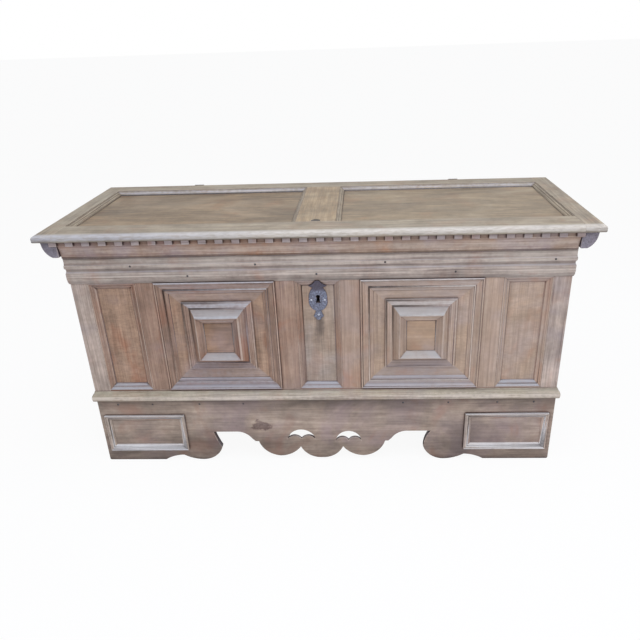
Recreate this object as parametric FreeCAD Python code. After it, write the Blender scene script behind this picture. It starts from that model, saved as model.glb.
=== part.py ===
import FreeCAD, Part
import math
import os

# A panelled chest with a hinged lid. Sizes in millimetres, +Z up, the front faces -Y.
# The origin is on the floor under the middle of the whole object.

os.makedirs("parts", exist_ok=True)
V = FreeCAD.Vector
quarter_turn = 90

# Case frame
post_width = 56.0
outer_muntin_width = 59.5
inner_muntin_width = 63.0
narrow_opening = 151.0
large_opening = 388.5
centre_opening = 144.0
case_depth = 602.0
plinth_height = 254.5
bottom_rail_height = 42.0
opening_height = 393.5
top_rail_height = 154.7
back_rail_height = 100.0
frame_thickness = 30.0
tenon_thickness = 10.0
tenon_shoulder = 10.0
rail_tenon_length = 35.0
muntin_tenon_length = 25.0
groove_depth = 8.0
panel_thickness = 12.0
large_panel_setback = 8.0
plain_panel_setback = 12.0
back_board_count = 2
back_board_gap = 1.0

# Plinth
plinth_thickness = 22.0
plinth_proud = 1.5
plinth_bevel = 12.0
foot_flat = 219.0
foot_cove_width = 68.0
foot_cusp_rise = 20.0
foot_lobe_width = 144.0
foot_lobe_bulge_rise = 52.0
foot_lobe_left_hollow = 14.0
foot_lobe_right_hollow = 6.0
apron_shift = -10.0
apron_underside = 119.5
apron_flat = 78.0
apron_shoulder = 58.0
apron_step_width = 23.0
apron_step_height = 78.0
apron_cusp_offset = 75.5
apron_cusp_height = 54.0
apron_outer_lobe_offset = 149.0
apron_outer_lobe_height = 15.0
apron_centre_lobe_height = 7.0
corner_round = 6.0
piercing_end = 131.0
piercing_left_length = 99.0
piercing_right_length = 90.0
piercing_left_height = 88.0
piercing_right_height = 81.0
piercing_arch_rise = 39.0
piercing_bump_rise = 13.0
side_foot_flat = 96.0
side_foot_cove = 60.0
side_apron_underside = 112.0
back_foot_flat = 150.0
corner_block_width = 50.0
bearer_width = 45.0
bearer_height = 30.0
bearer_spacing = 480.0
floor_thickness = 24.0
floor_board_count = 3
floor_board_gap = 1.0

# Mouldings: the width of the band and how far it stands out
frieze_height = 87.0
frieze_projection = 6.5
base_height = 37.0
base_projection = 12.0
plain_band = 22.0
plain_arris = 1.0
large_band = 42.5
large_proud = 6.0
step_band = 26.0
step_rise = 9.0
boss_width = 177.0
boss_height = 193.0
boss_band = 43.0
boss_lift = 3.8
boss_rise = 35.0
boss_field_rise = 20.0
foot_frame_length = 284.0
foot_frame_height = 146.0
foot_frame_band = 23.0
foot_frame_rise = 10.0
foot_frame_end_margin = 17.0
foot_frame_floor_margin = 47.0
lid_band = 17.0
lid_moulding_rise = 13.0

# Lid
lid_thickness = 21.0
lid_front_overhang = 61.0
lid_rear_setin = 1.0
lid_end_overhang = 60.0
lid_rest_gap = 0.3
lid_end_width = 62.0
lid_front_rail_width = 107.0
lid_rear_rail_width = 84.0
lid_muntin_width = 124.0
lid_panel_recess = 14.0
lid_panel_thickness = 7.0
lid_tongue_thickness = 4.0
lid_tenon_length = 30.0
lid_tenon_thickness = 7.0
lid_tenon_shoulder = 20.0
nosing_radius = 9.0
nosing_foot_radius = 4.0
skirt_gap = 2.5
skirt_thickness = 25.0
skirt_height = 65.0
skirt_end_gap = 1.5
cleat_width = 49.0
cleat_height = 58.0
cleat_side_gap = 3.0
cleat_rear_margin = 12.0
dentil_count = 32
dentil_width = 24.0
dentil_height = 20.0
dentil_depth = 8.0
dentil_end_offset = 7.0
dentil_row_shift = -7.0

# Hinges
hinge_spacing = 990.0
hinge_width = 34.0
knuckle_radius = 8.0
knuckle_side_gap = 0.4
knuckle_drop = 9.5
hinge_neck_width = 12.0
leaf_thickness = 4.0
leaf_length = 96.0
leaf_tang_length = 46.0
hinge_pin_radius = 3.0
pin_clearance = 0.05
pin_overhang = 1.5

# Lock, catch and escutcheon
lock_plate_width = 190.0
lock_plate_top_margin = 7.0
lock_plate_height = 254.0
lock_wall = 3.0
lock_width = 120.0
lock_height = 232.0
lock_depth = 38.0
lock_top_margin = 13.0
keyhole_drop = 68.5
keyhole_eye_radius = 6.8
keyhole_slot_width = 6.6
keyhole_foot_width = 14.0
keyhole_length = 28.0
catch_width = 28.0
catch_thickness = 4.0
catch_setback = 50.0
catch_drop = 45.0
catch_slot_gap = 0.3
clench_depth = 10.0
clench_thickness = 1.2
eye_width = 12.0
eye_depth = 12.0
eye_height = 24.0
eye_wall = 2.5
lock_slot_gap = 2.0
bolt_thickness = 6.0
bolt_height = 12.0
bolt_throw = 18.0
bolt_clearance = 0.3
bolt_guide_length = 10.0
bolt_guide_wall = 3.0
bolt_tail_width = 10.0
bolt_tail_gap = 2.0
bolt_tail_thickness = 4.0
bolt_talon_depth = 7.0
escutcheon_thickness = 2.0
escutcheon_half_width = 29.0
escutcheon_tip_drop = 73.0
escutcheon_roundel_drop = 55.0
escutcheon_roundel_radius = 15.5
escutcheon_notch_half_width = 8.5
escutcheon_neck_half_width = 8.0
escutcheon_neck_drop = 41.0
finial_bend_margin = 7.0
finial_wing_rise = 9.0
finial_half_width = 10.0
finial_clearance = 2.6
finial_overlap = 4.0

# Nails
nail_width = 2.6
nail_length = 24.0
nail_head_width = 7.0
nail_head_height = 1.4
nail_head_sides = 8
nail_tip_share = 0.3
lock_nail_inset = 8.0
escutcheon_nail_inset = 7.5
escutcheon_nail_drop = 3.0
short_nail_length = 10.0
leaf_nail_top_drop = 34.0
leaf_nail_spacing = 44.0

# Drawing helper lengths
overrun = 2.0
join_tolerance = 0.001

# Worked-out places
case_width = centre_opening + 2 * (
    inner_muntin_width + large_opening + outer_muntin_width + narrow_opening + post_width)
case_half = case_width / 2
lid_length = case_width + 2 * lid_end_overhang
lid_half = lid_length / 2
lid_depth = case_depth + lid_front_overhang - lid_rear_setin
lid_front_y = -(lid_depth + lid_rear_setin + 2 * knuckle_radius) / 2
lid_rear_y = lid_front_y + lid_depth
case_front_y = lid_front_y + lid_front_overhang
case_back_y = case_front_y + case_depth
case_middle_y = (case_front_y + case_back_y) / 2
opening_bottom = plinth_height + bottom_rail_height
opening_top = opening_bottom + opening_height
opening_middle = (opening_bottom + opening_top) / 2
boss_middle = opening_middle + boss_lift
case_top = opening_top + top_rail_height
lid_bottom = case_top + lid_rest_gap
lid_top = lid_bottom + lid_thickness
frame_back_y = case_front_y + frame_thickness
large_field_y = case_front_y + large_panel_setback
plain_field_y = case_front_y + plain_panel_setback
inner_muntin_x = centre_opening / 2
large_opening_x = inner_muntin_x + inner_muntin_width
outer_muntin_x = large_opening_x + large_opening
narrow_opening_x = outer_muntin_x + outer_muntin_width
large_centre_x = large_opening_x + large_opening / 2
narrow_centre_x = narrow_opening_x + narrow_opening / 2
plinth_front_y = case_front_y - plinth_proud
plinth_back_y = case_back_y + plinth_proud
plinth_half = case_half + plinth_proud
floor_bottom = plinth_height - floor_thickness
cleat_inner_x = case_half + cleat_side_gap
skirt_back_y = case_front_y - skirt_gap
skirt_front_y = skirt_back_y - skirt_thickness
hinge_axis_y = case_back_y + knuckle_radius
hinge_axis_z = lid_top - knuckle_drop
keyhole_height = opening_top - keyhole_drop
escutcheon_shoulder_rise = keyhole_drop - plain_band - finial_bend_margin
escutcheon_finial_rise = keyhole_drop + finial_overlap
bolt_middle_y = case_front_y + catch_setback - eye_depth / 2
bolt_middle_z = lid_bottom - catch_drop + eye_height / 2
bolt_end_x = -catch_width / 2 - bolt_clearance
bolt_length = bolt_guide_length + bolt_throw + bolt_tail_width + bolt_tail_gap

# Moulding profiles. Each entry is a share of the band and of the rise. Two numbers draw a
# straight line to that point, four draw an arc through the first pair to the second.
frieze_profile_shares = (
    (0.0, 0.0), (0.28, 0.0), (0.62, 0.06, 0.78, 0.17), (0.88, 0.18), (0.88, 0.40), (0.78, 0.43),
    (0.70, 0.45), (0.42, 0.52, 0.82, 0.60), (1.0, 0.605), (1.0, 0.72),
    (0.80, 0.74), (0.68, 0.85, 0.74, 0.975), (0.66, 1.0), (0.0, 1.0))
base_profile_shares = (
    (0.0, 0.0), (0.84, 0.0), (1.0, 0.30, 0.82, 0.62), (0.70, 0.64), (0.70, 0.70),
    (0.36, 0.80, 0.22, 0.97), (0.12, 1.0), (0.0, 1.0))
plain_profile_shares = (
    (0.0, 0.0), (0.0, 0.93), (0.07, 1.0, 0.14, 0.90), (0.40, 0.68), (0.41, 0.58), (0.50, 0.56),
    (0.74, 0.42, 0.90, 0.16), (0.91, 0.06), (1.0, 0.05), (1.0, 0.0))
large_profile_shares = (
    (0.0, 0.0), (0.0, 0.88), (0.06, 1.0, 0.12, 0.88), (0.14, 0.78), (0.17, 0.82),
    (0.36, 0.48, 0.60, 0.40), (0.61, 0.52), (0.70, 0.50), (0.71, 0.36), (0.86, 0.24, 0.97, 0.08),
    (1.0, 0.0))
step_profile_shares = (
    (0.0, 0.0), (0.0, 0.92), (0.04, 1.0), (0.20, 1.0), (0.23, 0.78), (0.50, 0.60, 0.80, 0.56),
    (0.83, 0.64), (1.0, 0.62), (1.0, 0.0))
boss_profile_shares = (
    (0.0, 0.0), (0.0, 0.15), (0.04, 0.18), (0.43, 0.94), (0.46, 1.0, 0.50, 0.97),
    (0.74, 0.74, 0.99, 0.60), (1.0, 0.57), (1.0, 0.0))
foot_profile_shares = (
    (0.0, 0.0), (0.0, 0.70), (0.07, 1.0, 0.14, 0.90), (0.17, 0.78), (0.52, 0.50, 0.88, 0.20),
    (0.91, 0.08), (1.0, 0.05), (1.0, 0.0))
lid_profile_shares = (
    (0.0, 0.0), (0.0, 0.92), (0.09, 1.0, 0.18, 0.92), (0.21, 0.82), (0.44, 0.72, 0.60, 0.46),
    (0.66, 0.44), (0.82, 0.34, 0.94, 0.08), (1.0, 0.06), (1.0, 0.0))
cleat_profile_shares = (
    (0.0, 0.0), (0.40, 0.0), (0.80, 0.30, 0.98, 0.74), (1.0, 0.82), (1.0, 1.0), (0.0, 1.0))
skirt_profile_shares = (
    (0.0, 0.0), (0.50, 0.0), (0.50, 0.11), (0.58, 0.13), (0.66, 0.38, 0.90, 0.62), (0.90, 0.66),
    (1.0, 0.67), (1.0, 1.0), (0.0, 1.0))

# Nail places as shares of half the case width, left to right
frieze_upper_nail_shares = (-0.74, -0.24, 0.27, 0.925)
frieze_lower_nail_shares = (-0.515, 0.0, 0.545)
plinth_nail_shares = (-0.91, -0.755, -0.545, -0.35, 0.35, 0.545, 0.755, 0.91)
frieze_upper_nail_height_share = 0.665
frieze_lower_nail_height_share = 0.26
frieze_upper_face_share = 1.0
frieze_lower_face_share = 0.88
plinth_nail_height_share = 0.25


def box(x_range, y_range, z_range):
    """A box between three pairs of limits."""
    low = [min(pair) for pair in (x_range, y_range, z_range)]
    high = [max(pair) for pair in (x_range, y_range, z_range)]
    size = [b - a for a, b in zip(low, high)]
    return Part.makeBox(*size, V(*low))


def mirror_x(shape):
    """The same shape on the other side of the middle plane."""
    return shape.mirror(V(0, 0, 0), V(1, 0, 0))


def both_sides(shape):
    return [shape, mirror_x(shape)]


def moved(shape, x, y, z):
    """A copy of the shape, shifted."""
    copy = shape.copy()
    copy.translate(V(x, y, z))
    return copy


def outline(steps, place):
    """Edges through the steps: a pair is a line to a point, four numbers are an arc."""
    here = place(*steps[0])
    edges = []
    for step in steps[1:]:
        there = place(*step[-2:])
        if len(step) > 2:
            edges.append(Part.Arc(here, place(*step[:2]), there).toShape())
        else:
            edges.append(Part.makeLine(here, there))
        here = there
    return edges


def closed_face(steps, place):
    """A face from an outline whose last point is joined back to its first."""
    edges = outline(steps, place)
    first = place(*steps[0])
    last = place(*steps[-1][-2:])
    if first.distanceToPoint(last) > join_tolerance:
        edges.append(Part.makeLine(last, first))
    return Part.Face(Part.Wire(edges))


def mitred_length(run, band, rise, profile_shares):
    """One moulding length along X: its outer edge on z = 0, its back on y = 0, mitred ends."""
    face = closed_face(profile_shares, lambda u, w: V(-run / 2, -w * rise, u * band))
    bar = face.extrude(V(run, 0, 0))
    wide = run / 2 + overrun
    narrow = run / 2 - band - overrun
    front = -rise - overrun
    corners = ((-wide, -overrun), (wide, -overrun), (narrow, band + overrun),
               (-narrow, band + overrun), (-wide, -overrun))
    mitre = Part.Face(Part.makePolygon([V(x, front, z) for x, z in corners]))
    return bar.common(mitre.extrude(V(0, rise + 2 * overrun, 0)))


def mitred_ring(width, height, band, rise, profile_shares):
    """Four mitred lengths round a rectangle centred on the origin, standing out to -Y."""
    pieces = []
    for side in range(4):
        run, across = (width, height) if side % 2 == 0 else (height, width)
        piece = moved(mitred_length(run, band, rise, profile_shares), 0, 0, -across / 2)
        piece.rotate(V(0, 0, 0), V(0, -1, 0), side * quarter_turn)
        pieces.append(piece)
    return Part.makeCompound(pieces)


def wall_moulding(length, height, projection, profile_shares, mitred_ends):
    """A moulding on a wall facing -Y, with its foot on z = 0 and its middle on x = 0."""
    reach = length / 2 + projection + overrun
    face = closed_face(profile_shares, lambda p, h: V(-reach, -p * projection, h * height))
    bar = face.extrude(V(2 * reach, 0, 0))
    corners = []
    for side, mitred in zip((-1, 1), mitred_ends):
        slope = 1 if mitred else 0
        inner = V(side * (length / 2 - slope * overrun), overrun, 0)
        outer = V(side * (length / 2 + slope * (projection + overrun)), -projection - overrun, 0)
        corners += [inner, outer] if side < 0 else [outer, inner]
    plan = Part.Face(Part.makePolygon(corners + corners[:1]))
    return bar.common(plan.extrude(V(0, 0, height)))


def polygon_ring(sides, width, y):
    """A regular polygon round the Y axis, measured across its corners."""
    corners = []
    for step in range(sides + 1):
        angle = math.tau * (step + 1 / 2) / sides
        corners.append(V(math.cos(angle) * width / 2, y, math.sin(angle) * width / 2))
    return Part.makePolygon(corners)


def nail(length):
    """A forged nail along +Y: a square tapered shank, and a faceted head on the -Y side."""
    head = Part.makeLoft([polygon_ring(nail_head_sides, nail_head_width, 0),
                          polygon_ring(nail_head_sides, nail_head_width * nail_tip_share,
                                       -nail_head_height)], True, True)
    across = nail_width * math.sqrt(2)
    shank = Part.makeLoft([polygon_ring(4, across, 0),
                           polygon_ring(4, across * nail_tip_share, length)], True, True)
    return head.fuse(shank)


def nails_at(places, y, length):
    return [moved(nail(length), x, y, z) for x, z in places]


def frame_tenon(x_range, z_range, face_y):
    """A tenon in the middle of a frame member that lies in a front or back frame."""
    start = face_y + (frame_thickness - tenon_thickness) / 2
    return box(x_range, (start, start + tenon_thickness), z_range)


def cross_rail(face_y, bottom, top):
    """A rail between the posts of the front or back frame, with a tenon at each end."""
    half = case_half - post_width
    rail = box((-half, half), (face_y, face_y + frame_thickness), (bottom, top))
    reach = half + rail_tenon_length
    tenon = frame_tenon((-reach, reach), (bottom + tenon_shoulder, top - tenon_shoulder), face_y)
    return rail.fuse(tenon)


def side_rail(bottom, top):
    """The right-hand rail between a front and a rear post."""
    front = case_front_y + post_width
    back = case_back_y - post_width
    rail = box((case_half - frame_thickness, case_half), (front, back), (bottom, top))
    tenon_x = case_half - (frame_thickness - tenon_thickness) / 2
    tenon = box((tenon_x - tenon_thickness, tenon_x),
                (front - rail_tenon_length, back + rail_tenon_length),
                (bottom + tenon_shoulder, top - tenon_shoulder))
    return rail.fuse(tenon)


def muntin(inner_x, width):
    """A right-hand upright between the front rails, tenoned into both."""
    upright = box((inner_x, inner_x + width), (case_front_y, frame_back_y),
                  (opening_bottom, opening_top))
    tenon = frame_tenon((inner_x + tenon_shoulder, inner_x + width - tenon_shoulder),
                        (opening_bottom - muntin_tenon_length, opening_top + muntin_tenon_length),
                        case_front_y)
    return upright.fuse(tenon)


def front_panel(left_x, width, field_y):
    """A board whose four edges sit in grooves round an opening of the front."""
    return box((left_x - groove_depth, left_x + width + groove_depth),
               (field_y, field_y + panel_thickness),
               (opening_bottom - groove_depth, opening_top + groove_depth))


def side_panel():
    """The right-hand side's board."""
    outer = case_half - plain_panel_setback
    return box((outer - panel_thickness, outer),
               (case_front_y + post_width - groove_depth, case_back_y - post_width + groove_depth),
               (opening_bottom - groove_depth, opening_top + groove_depth))


def back_boards():
    """Horizontal boards in the grooves of the back frame."""
    half = case_half - post_width + groove_depth
    bottom = opening_bottom - groove_depth
    top = case_top - back_rail_height + groove_depth
    height = (top - bottom - back_board_gap * (back_board_count - 1)) / back_board_count
    back = case_back_y - plain_panel_setback
    boards = []
    for row in range(back_board_count):
        start = bottom + row * (height + back_board_gap)
        boards.append(box((-half, half), (back - panel_thickness, back), (start, start + height)))
    return boards


def post(face_y, inner_y):
    """A right-hand corner post."""
    return box((case_half - post_width, case_half), (face_y, inner_y), (plinth_height, case_top))


def keyhole():
    """The key's way in, as a long cutter along Y."""
    start = case_front_y - overrun
    length = lock_depth
    round_z = keyhole_height + keyhole_length / 2 - keyhole_eye_radius
    foot_z = keyhole_height - keyhole_length / 2
    eye = Part.makeCylinder(keyhole_eye_radius, length, V(0, start, round_z), V(0, 1, 0))
    corners = ((-keyhole_slot_width / 2, round_z), (keyhole_slot_width / 2, round_z),
               (keyhole_foot_width / 2, foot_z), (-keyhole_foot_width / 2, foot_z),
               (-keyhole_slot_width / 2, round_z))
    slot = Part.Face(Part.makePolygon([V(x, start, z) for x, z in corners]))
    return eye.fuse(slot.extrude(V(0, length, 0)))


def placed_steps(steps, side, shift):
    """Outline steps put on one side of the middle and then shifted along X."""
    return [tuple(side * value + shift if place % 2 == 0 else value
                  for place, value in enumerate(step)) for step in steps]


def level_arc_middle(low_x, reach, rise):
    """The middle of an arc that leaves its lowest point level and ends a reach and a rise off."""
    radius = (reach ** 2 + rise ** 2) / (2 * rise)
    turn = math.asin(reach / radius) / 2
    return low_x + radius * math.sin(turn), radius * (1 - math.cos(turn))


def plinth_outline(side, hollow):
    """Half of the front plinth's edge, from an outer top corner to the middle lobe.

    The sawn pattern between the feet sits a little to the left of the middle.
    """
    foot_inner = plinth_half - foot_flat
    cusp_x = foot_inner - foot_cove_width
    lobe_in_x = cusp_x - foot_lobe_width
    lobe_x = (cusp_x + lobe_in_x) / 2
    notch_x = lobe_in_x + foot_lobe_width / 6
    flat_end_x = notch_x - apron_flat
    shoulder_x = flat_end_x - apron_shoulder
    step_x = shoulder_x - apron_step_width / 2
    shoulder_z = apron_underside * 3 / 4
    outer_lobe_radius = apron_outer_lobe_offset - apron_cusp_offset
    lobe_mid_z = (apron_cusp_height + apron_outer_lobe_height) / 2
    inner_mid_z = (apron_cusp_height + apron_centre_lobe_height) / 2
    round_mid = corner_round * (1 - math.sqrt(1 / 2))
    outer_arc = level_arc_middle(lobe_x, cusp_x - lobe_x, foot_cusp_rise)
    inner_arc = level_arc_middle(lobe_x, lobe_in_x - lobe_x, foot_lobe_bulge_rise)
    end_steps = (
        (plinth_half, plinth_height),
        (plinth_half, corner_round),
        (plinth_half - round_mid, round_mid, plinth_half - corner_round, 0),
    )
    sawn_steps = (
        (foot_inner, 0),
        (foot_inner - foot_cove_width / 2, foot_cusp_rise * 3 / 4, cusp_x, foot_cusp_rise),
        outer_arc + (lobe_x, 0),
        inner_arc + (lobe_in_x, foot_lobe_bulge_rise),
        (lobe_in_x + hollow, (foot_lobe_bulge_rise + apron_underside) / 2,
         notch_x, apron_underside),
        (flat_end_x, apron_underside),
        (flat_end_x - apron_shoulder * 2 / 3, apron_underside - (apron_underside - shoulder_z) / 3,
         shoulder_x, shoulder_z),
        (step_x, apron_step_height),
        (shoulder_x - apron_step_width, apron_step_height),
        (apron_outer_lobe_offset + outer_lobe_radius * 2 / 3, lobe_mid_z,
         apron_outer_lobe_offset, apron_outer_lobe_height),
        (apron_outer_lobe_offset - outer_lobe_radius * 3 / 4, lobe_mid_z,
         apron_cusp_offset, apron_cusp_height),
        (apron_cusp_offset * 4 / 5, inner_mid_z, 0, apron_centre_lobe_height),
    )
    return placed_steps(end_steps, side, 0) + placed_steps(sawn_steps, side, apron_shift)


def piercing(side, length, foot_height):
    """One arched piercing, cut through the plinth and bevelled down behind."""
    start_x = piercing_end - length
    middle_x = (start_x + piercing_end) / 2
    bump_z = foot_height + piercing_bump_rise
    steps = (
        (start_x, foot_height),
        (middle_x, foot_height + piercing_arch_rise, piercing_end, foot_height),
        (piercing_end - length / 4, bump_z, middle_x, foot_height),
        (start_x + length / 4, bump_z, start_x, foot_height),
    )
    start = plinth_front_y - overrun
    face = closed_face(steps, lambda x, z: V(side * x, start, z))
    hole = face.extrude(V(0, plinth_thickness + 2 * overrun, 0))
    bevel_face = moved(face, 0, plinth_thickness - plinth_bevel + overrun, 0)
    drop = plinth_bevel + overrun
    return hole.fuse(bevel_face.extrude(V(0, drop, -drop)))


def plinth_front():
    """The shaped and pierced board across the front."""
    def on_face(x, z):
        return V(x, plinth_front_y, z)
    edges = outline(plinth_outline(1, foot_lobe_right_hollow), on_face)
    edges += outline(plinth_outline(-1, foot_lobe_left_hollow), on_face)
    edges.append(Part.makeLine(on_face(plinth_half, plinth_height),
                               on_face(-plinth_half, plinth_height)))
    board = Part.Face(Part.Wire(Part.sortEdges(edges)[0])).extrude(V(0, plinth_thickness, 0))
    for side, length, foot_height in ((1, piercing_right_length, piercing_right_height),
                                      (-1, piercing_left_length, piercing_left_height)):
        board = board.cut(piercing(side, length, foot_height))
    return board


def bracket_board(half_length, foot_flat_length, cove, underside):
    """A plain plinth board in the XZ plane with a foot at each end, coved up to a straight."""
    foot_in = half_length - foot_flat_length
    cove_in = foot_in - cove
    bend = math.sqrt(1 / 2)
    half_steps = (
        (half_length, plinth_height),
        (half_length, 0),
        (foot_in, 0),
        (cove_in + cove * bend, underside * bend, cove_in, underside),
        (0, underside),
    )
    edges = outline(half_steps, lambda x, z: V(x, 0, z))
    edges += outline(half_steps, lambda x, z: V(-x, 0, z))
    edges.append(Part.makeLine(V(half_length, 0, plinth_height),
                               V(-half_length, 0, plinth_height)))
    face = Part.Face(Part.Wire(Part.sortEdges(edges)[0]))
    return face.extrude(V(0, plinth_thickness, 0))


def plinth_side():
    """The right-hand plinth board, between the front and back boards."""
    inner_depth = plinth_back_y - plinth_front_y - 2 * plinth_thickness
    board = bracket_board(inner_depth / 2, side_foot_flat, side_foot_cove, side_apron_underside)
    board.rotate(V(0, 0, 0), V(0, 0, 1), quarter_turn)
    return moved(board, plinth_half, case_middle_y, 0)


def plinth_back():
    board = bracket_board(plinth_half, back_foot_flat, side_foot_cove, side_apron_underside)
    return moved(board, 0, plinth_back_y - plinth_thickness, 0)


def corner_blocks():
    """Blocks glued into the four corners of the plinth, under the floor."""
    outer = plinth_half - plinth_thickness
    blocks = []
    for y in (plinth_front_y + plinth_thickness,
              plinth_back_y - plinth_thickness - corner_block_width):
        blocks += both_sides(box((outer - corner_block_width, outer),
                                 (y, y + corner_block_width), (0, floor_bottom)))
    return blocks


def bearers():
    """Battens from front to back under the floor boards."""
    front = plinth_front_y + plinth_thickness
    back = plinth_back_y - plinth_thickness
    battens = []
    for step in (-1, 0, 1):
        middle = step * bearer_spacing
        battens.append(box((middle - bearer_width / 2, middle + bearer_width / 2), (front, back),
                           (floor_bottom - bearer_height, floor_bottom)))
    return battens


def floor_boards():
    """Lengthwise boards inside the top of the plinth."""
    front = plinth_front_y + plinth_thickness
    back = plinth_back_y - plinth_thickness
    half = plinth_half - plinth_thickness
    gaps = floor_board_gap * (floor_board_count - 1)
    width = (back - front - gaps) / floor_board_count
    boards = []
    for row in range(floor_board_count):
        start = front + row * (width + floor_board_gap)
        boards.append(box((-half, half), (start, start + width), (floor_bottom, plinth_height)))
    return boards


def lid_blank():
    """The lid's outline as one slab with its edges rounded, more above than below."""
    slab = box((-lid_half, lid_half), (lid_front_y, lid_rear_y), (lid_bottom, lid_top))
    for level, radius in ((lid_top, nosing_radius), (lid_bottom, nosing_foot_radius)):
        rims = [edge for edge in slab.Edges if edge.BoundBox.ZLength < join_tolerance
                and abs(edge.BoundBox.ZMin - level) < join_tolerance]
        slab = slab.makeFillet(radius, rims)
    return slab


def lid_tenon(x_range, y_range):
    """A tenon in the middle of the lid's thickness."""
    start = lid_bottom + (lid_thickness - lid_tenon_thickness) / 2
    return box(x_range, y_range, (start, start + lid_tenon_thickness))


def lid_opening_limits():
    """The right-hand opening of the lid frame, as limits in X and Y."""
    x_range = (lid_muntin_width / 2, lid_half - lid_end_width)
    y_range = (lid_front_y + lid_front_rail_width, lid_rear_y - lid_rear_rail_width)
    return x_range, y_range


def lid_panel():
    """The right-hand lid panel, with a tongue round its edge."""
    x_range, y_range = lid_opening_limits()
    top = lid_top - lid_panel_recess
    field = box(x_range, y_range, (top - lid_panel_thickness, top))
    tongue = box((x_range[0] - groove_depth, x_range[1] + groove_depth),
                 (y_range[0] - groove_depth, y_range[1] + groove_depth),
                 (top - lid_tongue_thickness, top))
    return field.fuse(tongue)


def lid_frame():
    """The lid's five frame members, jointed and grooved for the panels."""
    blank = lid_blank()
    end_in = lid_half - lid_end_width
    (panel_in, panel_out), (rail_y, back_rail_y) = lid_opening_limits()
    depth = (lid_bottom - overrun, lid_top + overrun)
    front = blank.common(box((-end_in, end_in), (lid_front_y - overrun, rail_y), depth))
    rear = blank.common(box((-end_in, end_in), (back_rail_y, lid_rear_y + overrun), depth))
    end = blank.common(box((end_in, lid_half + overrun),
                           (lid_front_y - overrun, lid_rear_y + overrun), depth))
    upright = blank.common(box((-panel_in, panel_in), (rail_y, back_rail_y), depth))

    end_reach = end_in + lid_tenon_length
    front_tenon = lid_tenon((-end_reach, end_reach),
                            (lid_front_y + lid_tenon_shoulder, rail_y - lid_tenon_shoulder))
    rear_tenon = lid_tenon((-end_reach, end_reach),
                           (back_rail_y + lid_tenon_shoulder, lid_rear_y - lid_tenon_shoulder))
    upright_half = panel_in - lid_tenon_shoulder
    upright_tenon = lid_tenon((-upright_half, upright_half),
                              (rail_y - lid_tenon_length, back_rail_y + lid_tenon_length))
    front = front.fuse(front_tenon).cut(upright_tenon)
    rear = rear.fuse(rear_tenon).cut(upright_tenon)
    end = end.cut(front_tenon).cut(rear_tenon)
    upright = upright.fuse(upright_tenon)
    panels = both_sides(lid_panel())
    members = []
    for member in (front, rear, end, mirror_x(end), upright):
        for panel in panels:
            member = member.cut(panel)
        members.append(member)
    return members


def lid_mouldings():
    """The mitred moulding round each lid panel, lying on the panel."""
    x_range, y_range = lid_opening_limits()
    ring = mitred_ring(x_range[1] - x_range[0], y_range[1] - y_range[0], lid_band,
                       lid_moulding_rise, lid_profile_shares)
    ring.rotate(V(0, 0, 0), V(1, 0, 0), -quarter_turn)
    placed = moved(ring, sum(x_range) / 2, sum(y_range) / 2, lid_top - lid_panel_recess)
    return placed.Solids + mirror_x(placed).Solids


def skirt():
    """The moulded board under the lid's front edge, between the cleats."""
    half = cleat_inner_x - skirt_end_gap
    foot = lid_bottom - skirt_height
    face = closed_face(skirt_profile_shares, lambda p, h: V(
        -half, skirt_back_y - p * skirt_thickness, foot + h * skirt_height))
    return face.extrude(V(2 * half, 0, 0))


def cleat():
    """The right-hand batten under the lid's end, showing its shaped end grain in front."""
    foot = lid_bottom - cleat_height
    face = closed_face(cleat_profile_shares, lambda p, h: V(
        cleat_inner_x + p * cleat_width, skirt_front_y, foot + h * cleat_height))
    return face.extrude(V(0, lid_rear_y - cleat_rear_margin - skirt_front_y, 0))


def dentils():
    """The row of small blocks under the lid's front edge."""
    end_x = cleat_inner_x + dentil_end_offset - dentil_width / 4
    pitch = 2 * end_x / (dentil_count - 1)
    blocks = []
    for step in range(dentil_count):
        middle = dentil_row_shift - end_x + step * pitch
        blocks.append(box((middle - dentil_width / 2, middle + dentil_width / 2),
                          (skirt_front_y - dentil_depth, skirt_front_y),
                          (lid_bottom - dentil_height, lid_bottom)))
    return blocks


def barrel(start_x, length, radius):
    """A cylinder along X round the hinge axis of the right-hand hinge."""
    return Part.makeCylinder(radius, length, V(start_x, hinge_axis_y, hinge_axis_z), V(1, 0, 0))


def hinge_left_edge():
    return (hinge_spacing - hinge_width) / 2


def case_leaf():
    """The right-hand hinge's leaf on the back of the case, with two outer knuckles."""
    start = hinge_left_edge()
    outer = (hinge_width - hinge_neck_width) / 2 - knuckle_side_gap
    neck = hinge_neck_width + 2 * knuckle_side_gap
    plate = box((start, start + hinge_width), (case_back_y, case_back_y + leaf_thickness),
                (hinge_axis_z - leaf_length, hinge_axis_z))
    knuckles = barrel(start, hinge_width, knuckle_radius)
    gap = box((start + outer, start + outer + neck),
              (case_back_y - overrun, case_back_y + 2 * knuckle_radius + overrun),
              (hinge_axis_z - knuckle_radius - lid_rear_setin, hinge_axis_z + knuckle_radius
               + overrun))
    bore = barrel(start - overrun, hinge_width + 2 * overrun, hinge_pin_radius + pin_clearance)
    return plate.fuse(knuckles).cut(gap).cut(bore)


def lid_leaf():
    """The right-hand hinge's leaf in the lid: the middle knuckle, a neck and a tang."""
    start = hinge_left_edge()
    neck_x = start + (hinge_width - hinge_neck_width) / 2
    half = leaf_thickness / 2
    levels = (hinge_axis_z - half, hinge_axis_z + half)
    knuckle = barrel(neck_x, hinge_neck_width, knuckle_radius)
    neck = box((neck_x, neck_x + hinge_neck_width), (lid_rear_y - lid_tenon_shoulder / 2,
                                                     hinge_axis_y), levels)
    tang_back = lid_rear_y - lid_tenon_shoulder / 2
    tang = box((start, start + hinge_width), (tang_back - leaf_tang_length, tang_back), levels)
    bore = barrel(start, hinge_width, hinge_pin_radius + pin_clearance)
    return knuckle.fuse(neck).fuse(tang).cut(bore)


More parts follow.
